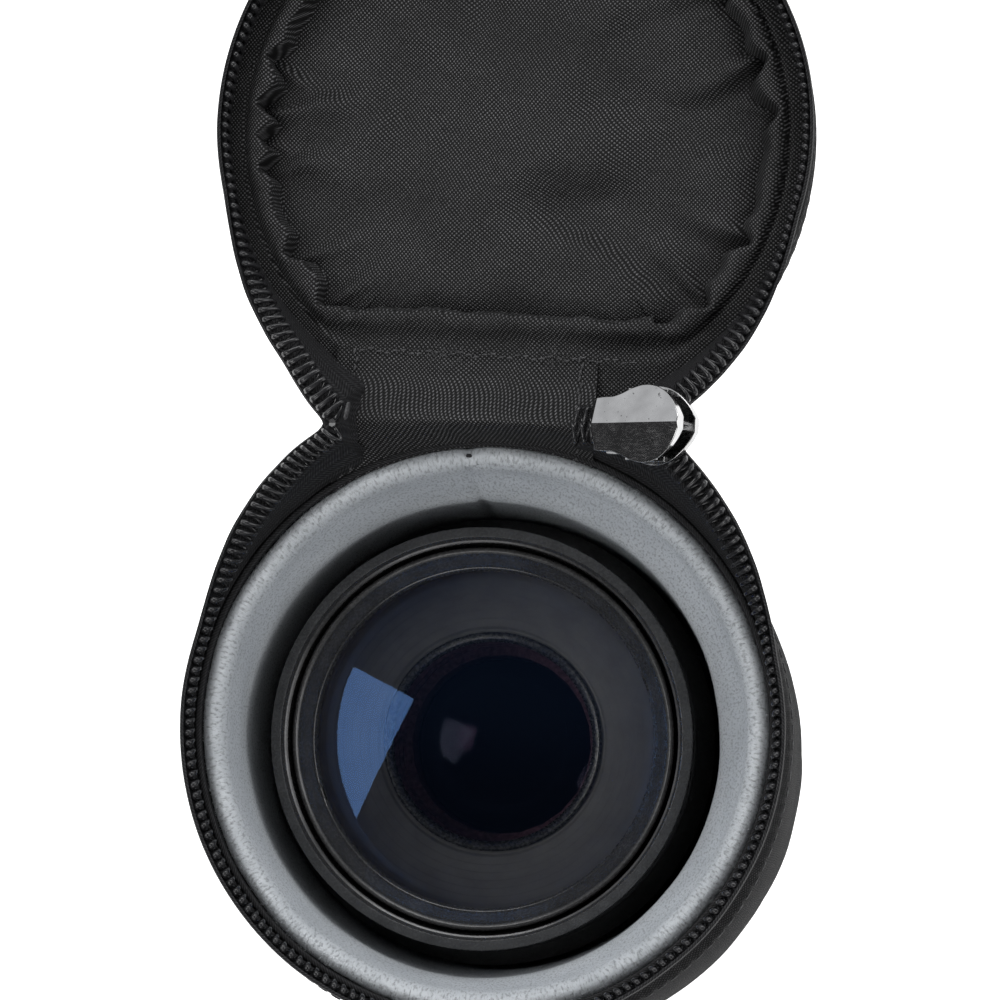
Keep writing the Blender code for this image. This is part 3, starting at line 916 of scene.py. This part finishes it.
def lining_row(edge, inward, run):
    """One row of the lining's points, from the wall to the lid's middle."""
    x, y = edge
    on_chord = smooth((-y - 28.5) / 5.5) * smooth((30 - abs(x)) / 6)
    strip = 0.9 + 2.3 * on_chord
    width = roll_width(degrees(atan2(x, y)), run) * (1 + 0.15 * on_chord)
    rim = edge / hypot(x, y) * (WALL_R - 0.5)
    row = []
    for j in range(FLANGE_ROWS):
        t = j / FLANGE_ROWS
        row.append((*(rim + (edge - rim) * t), LINING_EDGE_Z - 0.7 * (1 - t)))
    strip_steps = [strip * step for step in (0, 0.12, 0.3, 0.5, 0.7, 0.9)]
    roll_steps = [strip + width * 0.1 * k / 1.2 for k in range(1, 13)]
    for reach in strip_steps + roll_steps:
        px, py = edge + inward * reach
        row.append((px, py, lining_height(px, py, reach, strip, width, run)))
    last = np.array(row[-1][:2])
    for j in range(INNER_ROWS):
        t = (j + 1) / INNER_ROWS
        px, py = last * (1 - t)
        reach = strip + width + np.linalg.norm(last) * t
        row.append((px, py, lining_height(px, py, reach, strip, width, run)))
    return row


def solidified(points):
    """Adds an underside to a sheet whose last column is one point."""
    under = points[:, ::-1].copy()
    under[..., 2] = LID_FOAM_TOP + 0.35
    return np.concatenate([points, under], axis=1)


def lining_height(x, y, reach, strip, width, run):
    """Height of the lid's lining at a distance in from its sewn edge."""
    if reach <= strip:
        return LINING_EDGE_Z - 0.35 * sin(pi * reach / strip)
    across = (reach - strip) / width
    panel = PANEL_Z + fold_height(x, y)
    if across <= 1:
        pucker = 0.28 * bumps(run, reach, 0, 1.9, 6.6) + 0.3 * bumps(run, 0, 0, 5.0, 1.7)
        crest = LINING_EDGE_Z + (1.7 + pucker) * sin(pi * across) ** 0.55
        down = smooth((across - ROLL_SHARE) / (1 - ROLL_SHARE))
        return crest + (above_foam(panel - CREASE) - crest) * down
    away = (reach - strip - width) / 2.2
    return above_foam(panel - CREASE * exp(-away))


def above_foam(height):
    """Keeps the cloth from sinking through its own underside."""
    lowest = LID_FOAM_TOP + 0.8
    return lowest + 0.4 * log1p(exp((height - lowest) / 0.4))


def plane_coordinates(ob):
    """Lays a mesh's cloth coordinates flat, in mm, so that the threads run straight across it."""
    mesh = ob.data
    layer = mesh.uv_layers["cloth"]
    for loop in mesh.loops:
        co = mesh.vertices[loop.vertex_index].co / MM
        layer.data[loop.index].uv = (co.x + 0.5 * co.z, co.y + 0.5 * co.z)


def build_lid():
    """The lid's wall and panel, with their piping and stitches, and its lining."""
    low, high = height_of("lid_wall")

    def soft(azimuth, r, z):
        if r < WALL_R - 0.4:
            return r, z
        bulge = sin(pi * min(max((z - low) / (high - low), 0), 1))
        return r + bulge * 0.5 * (1 - flat_back(azimuth + pi)), z

    middle = (0, LID_Y)
    outline = wall_outline(low, high + 0.4, 8)
    lathe("lid_side", outline, OUTER, "lid", 180, middle, 0.3, soft, replaces=["lid_wall"])
    bottom, top = height_of("lid_panel")
    panel = [(0, bottom), (25, bottom), (40, bottom + 0.05), (43.3, bottom + 0.3), (43.5, bottom + 0.7)]
    panel += [(43.2, top), (0, top)]

    def padded(azimuth, r, z):
        x, y = r * sin(azimuth), r * cos(azimuth)
        return r, z + (0.12 * bumps(x, y, 0, 12.0, 3.0) if z < bottom + 0.2 else 0)

    lathe("lid_top", panel, OUTER, "lid", 180, middle, 0.3, padded, replaces=["lid_panel"])
    build_piping("lid_piping_cord", "lid", LID_Y, bottom + PIPING_RISE, "lid_piping")
    ring_stitches("lid_side_stitches", "lid", LID_Y, WALL_R + 0.1, high - 0.8, 2.3)
    build_lid_lining()


# ---------------------------------------------------------------- the hinge

PANEL_LEFT, PANEL_RIGHT = -22.5, 12.8
PANEL_T = 0.55


def hinge_point(x, t):
    """On the hinge panel: t runs from 0 at the fleece's edge to 1 at the lid lining's seam."""
    start_y = sqrt(42.6**2 - x * x)
    end_y = HINGE_Y + LID_SEAM + 0.6
    y = start_y + (end_y - start_y) * t
    rise = smooth((y - start_y) / max(HINGE_Y - start_y + 0.5, 2.0))
    fall = smooth((y - HINGE_Y + 1) / 9.0)
    height = WALL_TOP + 0.2 + 6.9 * rise - 5.6 * fall
    fade = sin(pi * min(max(t, 0), 1)) ** 0.5
    height += fade * (0.35 * bumps(x, y, 0, 6.0, 5.0) + 0.25 * sin(x * 0.55 + 0.5 * t))
    return np.array((x, y, height))


def build_hinge():
    """The ribbed panel over the hinge line, with its columns of stitches."""
    columns, rows = 120, 60
    top = np.zeros((columns, rows, 3))
    for i in range(columns):
        x = PANEL_LEFT - 2.8 + (PANEL_RIGHT - PANEL_LEFT + 4.3) * i / (columns - 1)
        for j in range(rows):
            top[i, j] = hinge_point(x, j / (rows - 1))
    sheet = np.concatenate([top, top[:, ::-1] - PANEL_T * UP], axis=1)
    panel = tube("hinge_panel", sheet, LINING, None, 50)
    plane_coordinates(panel)
    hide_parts("hinge_tape_body", "hinge_tape_lid", "hinge_web")
    across_hinge(panel)
    for name, x in (("hinge_stitches_left", PANEL_LEFT), ("hinge_stitches_right", PANEL_RIGHT - 1.0)):
        places = [hinge_point(x + 0.25 * sin(k * 2.4), 0.04 + 0.92 * k / 15) for k in range(16)]
        places = np.array(places) + 0.12 * UP
        column = stitch_marks(name, places, (0.25, 1, 0), 0.5, 0.2, None)
        across_hinge(column)
    build_lid_seam()


def build_lid_seam():
    """The seam that joins the lid's lining to the hinge panel, with its loose thread ends."""
    y = HINGE_Y + LID_SEAM
    places = []
    for k in range(34):
        x = -21.5 + 41.0 * k / 33
        places.append((x, y + 0.3 * sin(k * 1.7), RIM_Z - 5.2 + 0.1 * sin(k * 2.9)))
    stitch_marks("lid_seam_stitches", places, (1, 0.12, 0), 0.42, 0.16, "lid")
    rng = np.random.default_rng(3)
    verts, faces = [], []
    for centre in (-10.5, -7.5, 7.5):
        for _ in range(46):
            root = np.array((centre + rng.normal(0, 1.0), y + rng.normal(0, 1.1), RIM_Z - 5.1))
            lean = np.array((rng.normal(0, 0.8), rng.normal(0, 0.8), 0.6))
            side = unit(np.array((rng.normal(0, 1), rng.normal(0, 1), 0.1)))
            add_fibre(verts, faces, root, lean, rng.uniform(0.8, 2.0), side)
    mesh_piece("lid_seam_threads", verts, faces, THREAD, "lid")


def build_chain_stub():
    """The zip's closed end beside the slider: two rows of meshed turns."""
    low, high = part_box("chain_stub")
    x0, x1 = low.x / MM, high.x / MM + 0.6
    base_z = (low.z + high.z) / 2 / MM
    count = TURN_SAMPLES * 3
    for side, name in ((-1, "chain_stub_front"), (1, "chain_stub_back")):
        path, radii = [], []
        for i in range(count + 1):
            turn = tau * i / TURN_SAMPLES
            x = x0 + 0.4 + (x1 - x0 - 0.6) * (i / count) + 0.3 * (side > 0)
            y = HINGE_Y + side * (1.25 - 1.35 * cos(turn))
            path.append((x, y, base_z + 0.5 * (x - x0) + 0.5 * sin(turn) + 0.4))
            radii.append(0.3 + 0.15 * max(cos(turn), 0) ** 2)
        replaces = ["chain_stub"] if side < 0 else []
        tube(name, tube_rings(path, radii, 6), COIL, "web", replaces=replaces)
    build_end_stop()


def build_end_stop():
    """Stitches over the zip's left end, where its two coils are joined."""
    low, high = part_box("chain_end_left")
    x, z = low.x / MM - 3.8, high.z / MM + 4.2
    places = [(x + 0.1 * sin(3 * k), HINGE_Y, z + 0.3 * k) for k in range(5)]
    ob = stitch_marks("chain_end_stitches", places, (0.2, 1, 0.1), 1.3, 0.24, "web")
    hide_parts("chain_end_left")


# ---------------------------------------------------------------- the slider


def slider_axes():
    """The slider's middle, and its directions along the chain, across it and out of the case."""
    centre = np.array(JOINTS["slider_travel"]["pos_m"]) / MM
    pull = np.array(JOINTS["pull_swing"]["pos_m"]) / MM
    out = unit((pull - centre) * (1, 0, 1))
    along = np.array((-out[2], 0, out[0]))
    middle = centre + out * COIL_R
    middle[1] = HINGE_Y
    return middle, along, np.array((0, 1, 0)), out


CAST_EDGE = 0.12
TAB_SHAPE = ((4.0, 1.6), (4.6, 2.4), (6.0, 2.7), (12.0, 2.45), (18.0, 2.8), (20.2, 2.5), (21.2, 1.5))
SLIDER_SHAPE = ((-7.5, 3.9), (-6.2, 4.05), (-4.6, 4.05), (-3.2, 4.5), (-1.6, 5.3), (0.0, 5.75))
SLIDER_SHAPE += ((1.2, 5.8), (2.8, 5.45), (4.4, 4.6), (5.8, 3.4), (6.8, 2.1), (7.4, 0.9))


def slider_outline(grow=0.0, reach=0.0):
    """Half-widths of the slider's plates along it, as a smooth run of (along, half-width)."""
    us, ws = zip(*SLIDER_SHAPE)
    fine = np.linspace(us[0], us[-1], 60)
    wide = np.interp(fine, us, ws)
    for _ in range(3):
        wide[1:-1] = (wide[:-2] + 2 * wide[1:-1] + wide[2:]) / 4
    return fine * (1 + reach), wide + grow


def build_slider():
    """Two plates joined by a post at the nose, side rails that hold the coils, and the bail on top."""
    middle, along, across, out = slider_axes()

    def place(u, w, n):
        return middle + u * along + w * across + n * out

    verts, faces = [], []
    add_plate(verts, faces, place, *slider_outline(), -1.75, -2.5, -1.15)
    add_plate(verts, faces, place, *slider_outline(0.1, 0.03), 1.05, 2.0, 0.25)
    post = [(2.2, 0), (3.0, 0.9), (4.6, 1.1), (5.6, 0.6), (5.9, 0), (5.6, -0.6), (4.6, -1.1), (3.0, -0.9)]
    add_prism(verts, faces, place, post, -2.0, 1.3)
    for side in (-1, 1):
        rail = [(-2.4, side * 4.6), (2.9, side * 4.6), (2.9, side * 5.35), (-2.4, side * 5.35)]
        add_prism(verts, faces, place, rail, -1.9, -1.15)
        add_prism(verts, faces, place, rail, 0.5, 1.2)
    ob = mesh_piece("slider_shell", verts, faces, ZINC, "slider", ["slider_body"], 25)
    add_bevel(ob)
    build_bail(place)


def add_plate(verts, faces, place, us, ws, inner, outer, ridge):
    """A plate whose face rises from its edges to a ridge along its middle."""
    rings = []
    for u, w in zip(us, ws):
        edge = outer + ridge * (1 - w / ws[0])
        section = ((-w, inner), (-w, edge), (0, outer + ridge), (w, edge), (w, inner))
        rings.append([place(u, a, b) for a, b in section])
    add_rings(verts, faces, rings)


def add_prism(verts, faces, place, outline, low, high):
    """A straight block over an outline."""
    add_rings(verts, faces, [[place(u, w, n) for u, w in outline] for n in (low, high)])


def add_bevel(ob):
    """Softens the cast metal's edges."""
    bevel = ob.modifiers.new("Bevel", "BEVEL")
    bevel.width = CAST_EDGE * MM
    bevel.segments = 2
    bevel.limit_method = "ANGLE"
    bevel.angle_limit = radians(35)


def build_bail(place):
    """The bridge on the slider's outer plate that holds the pull."""
    path = []
    for k in range(25):
        t = k / 24
        path.append(place(-3.4 + 6.4 * t, 0, 1.9 + 2.3 * sin(pi * t) ** 0.35))
    tube("slider_bail", tube_rings(path, [0.62] * len(path), 10), ZINC, "slider", 60)


def build_pull():
    """A ring on the bail and a long rounded tab, hanging straight down."""
    pivot = np.array(JOINTS["pull_swing"]["pos_m"]) / MM

    def place(down, across, out):
        return pivot + np.array((out, across, -down))

    ring = [place(2.2 - 2.25 * c, 2.55 * s, 0) for c, s in circle(32)]
    rings = tube_rings(ring, [0.4] * len(ring), 8)
    surface("pull_ring", rings, ZINC, "pull", close_u=True, close_v=True, sharp=80)
    downs = np.linspace(TAB_SHAPE[0][0], TAB_SHAPE[-1][0], 40)
    halves = np.interp(downs, *zip(*TAB_SHAPE))
    verts, faces = [], []
    add_plate(verts, faces, place, downs, halves, -0.5, 0.35, 0.2)
    add_bevel(mesh_piece("pull_tab_plate", verts, faces, ZINC, "pull", ["pull_tab"], 25))


# ---------------------------------------------------------------- the lens

GRIP_Z = (47.2, 69.8)
GRIP_GROOVE = 0.7
PAINTED = (
    (CELL, ("second_cell", "iris_housing", "iris_cover", "rear_cell", "focus_tube")),
    (INNER_GLASS, ("rear_element",)),
    (STEEL, ("bayonet_mount",)),
    (BLADE, [f"iris_blade_{k}" for k in range(1, 8)]),
    (FOAM, ("base_foam", "wall_foam", "lid_foam")),
    (BOARD, ("base_board",)),
)


def lens_lathe(name, outline, mat, body, node, segments=180, **more):
    """Turns a piece of the lens about its own axis, in place of a CAD node."""
    lathe(name, outline, mat, body, segments, LENS_AXIS, replaces=[node] if node else [], **more)


def build_lens_outside():
    """The cap, the mount, the barrels, the control rings with their grip and marks, and the filter ring."""
    foot = LENS_FOOT
    cap = [(0, foot), (31.6, foot), (33, foot + 1.2)]
    cap += [(33, foot + 2.2 + 1.4 * k) for k in range(9)]
    cap += [(33, 23.6), (32.4, 25), (31.3, 25), (31.3, 12), (0, 12)]

    def knurl(azimuth, r, z):
        if r > 32 and foot + 2 < z < 23:
            return r - 0.5 * max(sin(azimuth * 60), 0) ** 0.5, z
        return r, z

    lens_lathe("rear_cap_shell", cap, PLASTIC, "cap", "rear_cap", 480, bevel=0.3, shape=knurl)
    rear = [(26, 20.9), (30.9, 20.9), (30.9, 25.5), (33.6, 25.5), (34.6, 26.5), (34.6, 28.2), (34.2, 28.5)]
    rear += [(34.6, 28.8), (34.6, 30.2), (30.1, 30.2), (30.1, 38.4), (26, 38.4)]
    lens_lathe("rear_barrel_shell", rear, ANODISED, "lens", "rear_barrel")
    ring = [(30.5, 30.6), (34.6, 30.6), (35.2, 31.4), (35.2, 33.4), (35.2, 35.4), (34.4, 36.4)]
    ring += [(34.4, 38.4), (30.5, 38.4)]

    def scallops(azimuth, r, z):
        lobe = max(cos(azimuth * 24), -0.2)
        return (r - 0.7 * lobe if r > 34.9 else r), z

    owner = ("aperture_control", "aperture_ring")
    lens_lathe("aperture_ring_shell", ring, ANODISED, *owner, 360, shape=scallops)
    main = [(30.5, 38.8), (34.2, 38.8), (34.8, 39.4), (34.8, 41.4), (34.4, 41.8), (34.8, 42.2), (34.8, 44.7)]
    main += [(32.5, 44.7), (32.5, 85.4), (30.5, 85.4)]
    lens_lathe("main_barrel_shell", main, ANODISED, "lens", "main_barrel")
    focus = [(32.9, 45), (34.7, 45), (34.7, 46.6), (34.5, 47), (34.5, 70), (34.7, 70.4)]
    focus += [(34.7, 72), (32.9, 72)]
    lens_lathe("focus_ring_shell", focus, ANODISED, "focus_control", "focus_ring")
    build_focus_grip()
    front = [(32.9, 72.3), (35.9, 72.3), (36.3, 72.8), (36.3, 73.5), (33.7, 84.9), (33.4, 85.4), (32.9, 85.4)]
    lens_lathe("front_barrel_shell", front, ANODISED, "lens", "front_barrel")
    top = LENS_TOP
    rim = [(30.6, 85.7), (FRONT_R, 85.7), (FRONT_R, top - 0.9), (FRONT_R - 0.12, top - 0.6)]
    rim += [(31.7, top - 0.05), (31.5, top), (31.25, top - 0.7)]
    for k in range(4):
        z = top - 1.6 - 0.75 * k
        rim += [(31.15, z), (31.15, z - 0.2), (30.8, z - 0.38), (30.8, z - 0.5)]
    rim += [(30.6, 93.2)]
    lens_lathe("filter_ring_shell", rim, SATIN, "lens", "filter_ring", 200, bevel=0.3)
    build_lens_marks()


def build_focus_grip():
    """Rubber moulded in blocks, between grooves round it and slots down it."""
    low, high = GRIP_Z
    grip = [(34.9, low), (LENS_R, low)]
    for k in range(6):
        z = low + (high - low) * (k + 1) / 6
        outer = LENS_R - GRIP_GROOVE
        grip += [(LENS_R, z - 1.0), (outer, z - 0.8), (outer, z - 0.3), (LENS_R, z - 0.1)]
    grip = grip[:-2] + [(34.9, high)]

    def blocks(azimuth, r, z):
        slot = (azimuth * 72 / tau) % 1 > 0.62 and r >= LENS_R - 1.6 and low + 0.8 < z < high - 0.8
        return r - GRIP_GROOVE * slot, z

    owner = ("focus_control", "focus_grip")
    lens_lathe("focus_grip_rubber", grip, RUBBER, *owner, 432, bevel=0.1, shape=blocks, sharp=30)


def build_lens_marks():
    """Plain index marks on the barrel, with no lettering."""
    cx, cy = LENS_AXIS
    for name, r, z, half_w, half_h, mat in (
        ("lens_index_line", 34.8, 43.4, 0.25, 1.1, WHITE_MARK),
        ("lens_mount_dot", 34.62, 27.3, 0.9, 0.9, RED_MARK),
    ):
        verts, faces = [], []

        def place(u, w, n):
            return np.array((cx - u, cy - r - n, z + w))

        add_prism(verts, faces, place, [(half_w * c, half_h * s) for c, s in circle(16)], -0.2, 0.05)
        mesh_piece(name, verts, faces, mat, "lens")
    verts, faces = [], []
    for k in range(9):
        x, y, _ = 34.4 * outward(radians(-60 + 15 * k))
        add_capsule(verts, faces, np.array((cx - x, cy - y, 37.5)), UP, 0.55, 0.14)
    mesh_piece("aperture_ring_marks", verts, faces, WHITE_MARK, "aperture_control")


def build_lens_inside():
    """The trim ring, the glass, the retainers and the cells behind it."""
    trim = [(27.2, 91.2), (30.1, 92.2), (30.1, 95.2), (29.9, 95.6), (29.5, 95.7), (29.1, 95.4)]
    trim += [(28.8, 94.7), (28.4, 94.0), (27.9, 93.3), (27.5, 92.7), (27.2, 92.1)]
    lens_lathe("front_trim", trim, SATIN, "optics", "front_trim_ring", 200, bevel=0.1)
    keeper = [(26.8, 88.6), (28.0, 88.6), (28.0, 90.6), (27.6, 90.9), (27.1, 90.7), (26.8, 90.0)]

    def notched(azimuth, r, z):
        near = min(abs(((azimuth - a + pi) % tau) - pi) for a in (1.2, 1.2 + pi))
        return r, z - (0.7 if near < 0.05 and z > 90.3 else 0)

    lens_lathe("front_keeper", keeper, SATIN, "optics", "front_retainer", 240, bevel=0.1, shape=notched)
    dome = glass_outline(27.8, 84.4, 84.4, 87.8, 90.4)
    lens_lathe("front_lens", dome, FRONT_GLASS, "optics", "front_element", 160, bevel=0, sharp=60)
    cone = [(28.0, 82.9), (27.4, 83.6), (26.9, 83.4)]
    for k in range(7):
        r = 26.6 - 1.25 * k
        z = 82.7 - 1.5 * k
        cone += [(r - 0.2, z), (r - 0.35, z - 0.25)]
    cone += [(18.4, 72.6), (17.6, 71.9), (16.6, 71.7), (16.4, 71.4), (17.6, 71.3)]
    lens_lathe("baffle_shell", cone, BAFFLE, "optics", "baffle_cone", 160, bevel=0.08)
    ring = [(16.3, 71.9), (17.9, 72.5), (17.9, 73.0), (17.5, 73.3), (16.7, 73.0), (16.3, 72.4)]
    lens_lathe("inner_ring", ring, SATIN, "optics", None, 160, bevel=0.15)
    second = glass_outline(19.4, 65.0, 63.4, 66.2, 71.1)
    lens_lathe("second_lens", second, INNER_GLASS, "optics", "second_element", 120, bevel=0, sharp=60)


def glass_outline(radius, edge_low, middle_low, edge_high, middle_high):
    """Half the section of a glass element with two curved faces."""
    shares = [k / 24 for k in range(25)]
    low = [(radius * t, middle_low + (edge_low - middle_low) * t * t) for t in shares]
    high = [(radius * t, middle_high + (edge_high - middle_high) * t * t) for t in reversed(shares)]
    return low + high


def paint_cad_nodes():
    """The CAD nodes whose shapes are shown as they are get materials of their own."""
    for mat, nodes in PAINTED:
        for node in nodes:
            slots = frame["nodes"][node].data.materials
            slots.clear()
            slots.append(mat)


# ---------------------------------------------------------------- the stage

CAMERA_UP = 520.0
CAMERA_ASIDE = (36.2, -47.5)
IMAGE_TURN = radians(3.12)
AIM_BELOW_HINGE = 11.45
AIM_ASIDE = 0.4
FOCAL = 126.2
FLOOR_HALF = 2500.0
FLOOR_DROP = -0.3
WINDOW_TURN_DEG = 65.3


def build_stage():
    """A sheet of white paper under the case."""
    glow = dict(Emission_Color=(1, 1, 1), Emission_Strength=0.95)
    paper = speckled("studio_paper", grey(0.86), grey(0.9), 300.0, 0.9, grain=0.01, **glow)
    half = FLOOR_HALF * MM
    corners = [(x * half, y * half, FLOOR_DROP * MM) for x, y in ((-1, -1), (1, -1), (1, 1), (-1, 1))]
    mesh = bpy.data.meshes.new("studio_floor")
    mesh.from_pydata(corners, [], [(0, 1, 2, 3)])
    mesh.materials.append(paper)
    floor = bpy.data.objects.new("studio_floor", mesh)
    bpy.context.scene.collection.objects.link(floor)
    floor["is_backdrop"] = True
    bpy.context.scene.view_settings.view_transform = "Standard"


def area_light(name, place, aim, size, power):
    """A rectangular light at a place, turned towards what it lights."""
    data = bpy.data.lights.new(name, "AREA")
    data.shape = "RECTANGLE"
    data.size, data.size_y = size
    data.energy = power
    ob = bpy.data.objects.new(name, data)
    ob.location = place
    direction = Vector(aim) - Vector(place)
    ob.rotation_euler = direction.to_track_quat("-Z", "Y").to_euler()
    bpy.context.scene.collection.objects.link(ob)
    return ob


def build_lights():
    """Soft light all round from above, with a window at the left that the lens's front reflects."""
    middle = (0, 0.04, 0.12)
    for name, place, size, power in (
        ("back", (0.0, 1.15, 0.95), (1.2, 0.4), 6.8),
        ("right", (1.0, 0.1, 0.8), (0.9, 0.5), 2.8),
        ("front", (0.1, -0.95, 1.0), (0.9, 0.5), 4.2),
        ("left", (-0.9, 0.0, 1.0), (0.8, 0.6), 1.9),
    ):
        area_light(name, place, middle, size, power)
    overhead = area_light("overhead", (0.03, -0.04, 1.0), middle, (1.8, 1.8), 3.0)
    overhead.visible_glossy = False
    window = area_light("window", (-0.362, 0.015, 0.79), (-0.362, 0.015, 0), (0.26, 0.25), 1.1)
    window.rotation_euler = (0, 0, radians(WINDOW_TURN_DEG))
    build_world()


def build_world():
    """A room that is light low down behind the case and dark overhead and towards the front."""
    world = bpy.data.worlds.new("studio")
    bpy.context.scene.world = world
    world.use_nodes = True
    s = Nodes(world.node_tree)
    _, y, z = s.split(s.node("TexCoord").outputs["Generated"])
    behind = s.ramp(y, -0.12, 0.14, kind="SMOOTHSTEP")
    low_down = s.ramp(z, 0.5, 0.75, 1.0, 0.12, kind="SMOOTHSTEP")
    light = s.mix(s.times(behind, low_down), (0.04, 0.04, 0.042), (0.75, 0.76, 0.78))
    s.put(s.tree.nodes["Background"], Color=light)


def build_camera():
    """Above the case and a little to its front right, with the hinge near the picture's middle."""
    right = Vector((cos(IMAGE_TURN), sin(IMAGE_TURN), 0))
    up = Vector((-sin(IMAGE_TURN), cos(IMAGE_TURN), 0))
    aim = Vector((0, HINGE_Y, RIM_Z)) - up * AIM_BELOW_HINGE + right * AIM_ASIDE
    place = aim + right * CAMERA_ASIDE[0] + up * CAMERA_ASIDE[1] + Vector((0, 0, CAMERA_UP))
    back = (place - aim).normalized()
    side = up.cross(back).normalized()
    top = back.cross(side)
    data = bpy.data.cameras.new("camera")
    data.lens = FOCAL
    data.clip_start = 0.01
    ob = bpy.data.objects.new("camera", data)
    ob.matrix_world = Matrix.Translation(place * MM) @ Matrix((side, top, back)).transposed().to_4x4()
    bpy.context.scene.collection.objects.link(ob)
    bpy.context.scene.camera = ob


def main():
    build_zip_halves()
    build_case()
    build_lid()
    build_hinge()
    build_chain_stub()
    build_slider()
    build_pull()
    build_lens_outside()
    build_lens_inside()
    paint_cad_nodes()
    build_stage()
    build_lights()
    build_camera()
    boxes = {"cad": CAD_BOX, "visual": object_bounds()}
    plain = {key: [[float(c) for c in corner] for corner in box] for key, box in boxes.items()}


main()
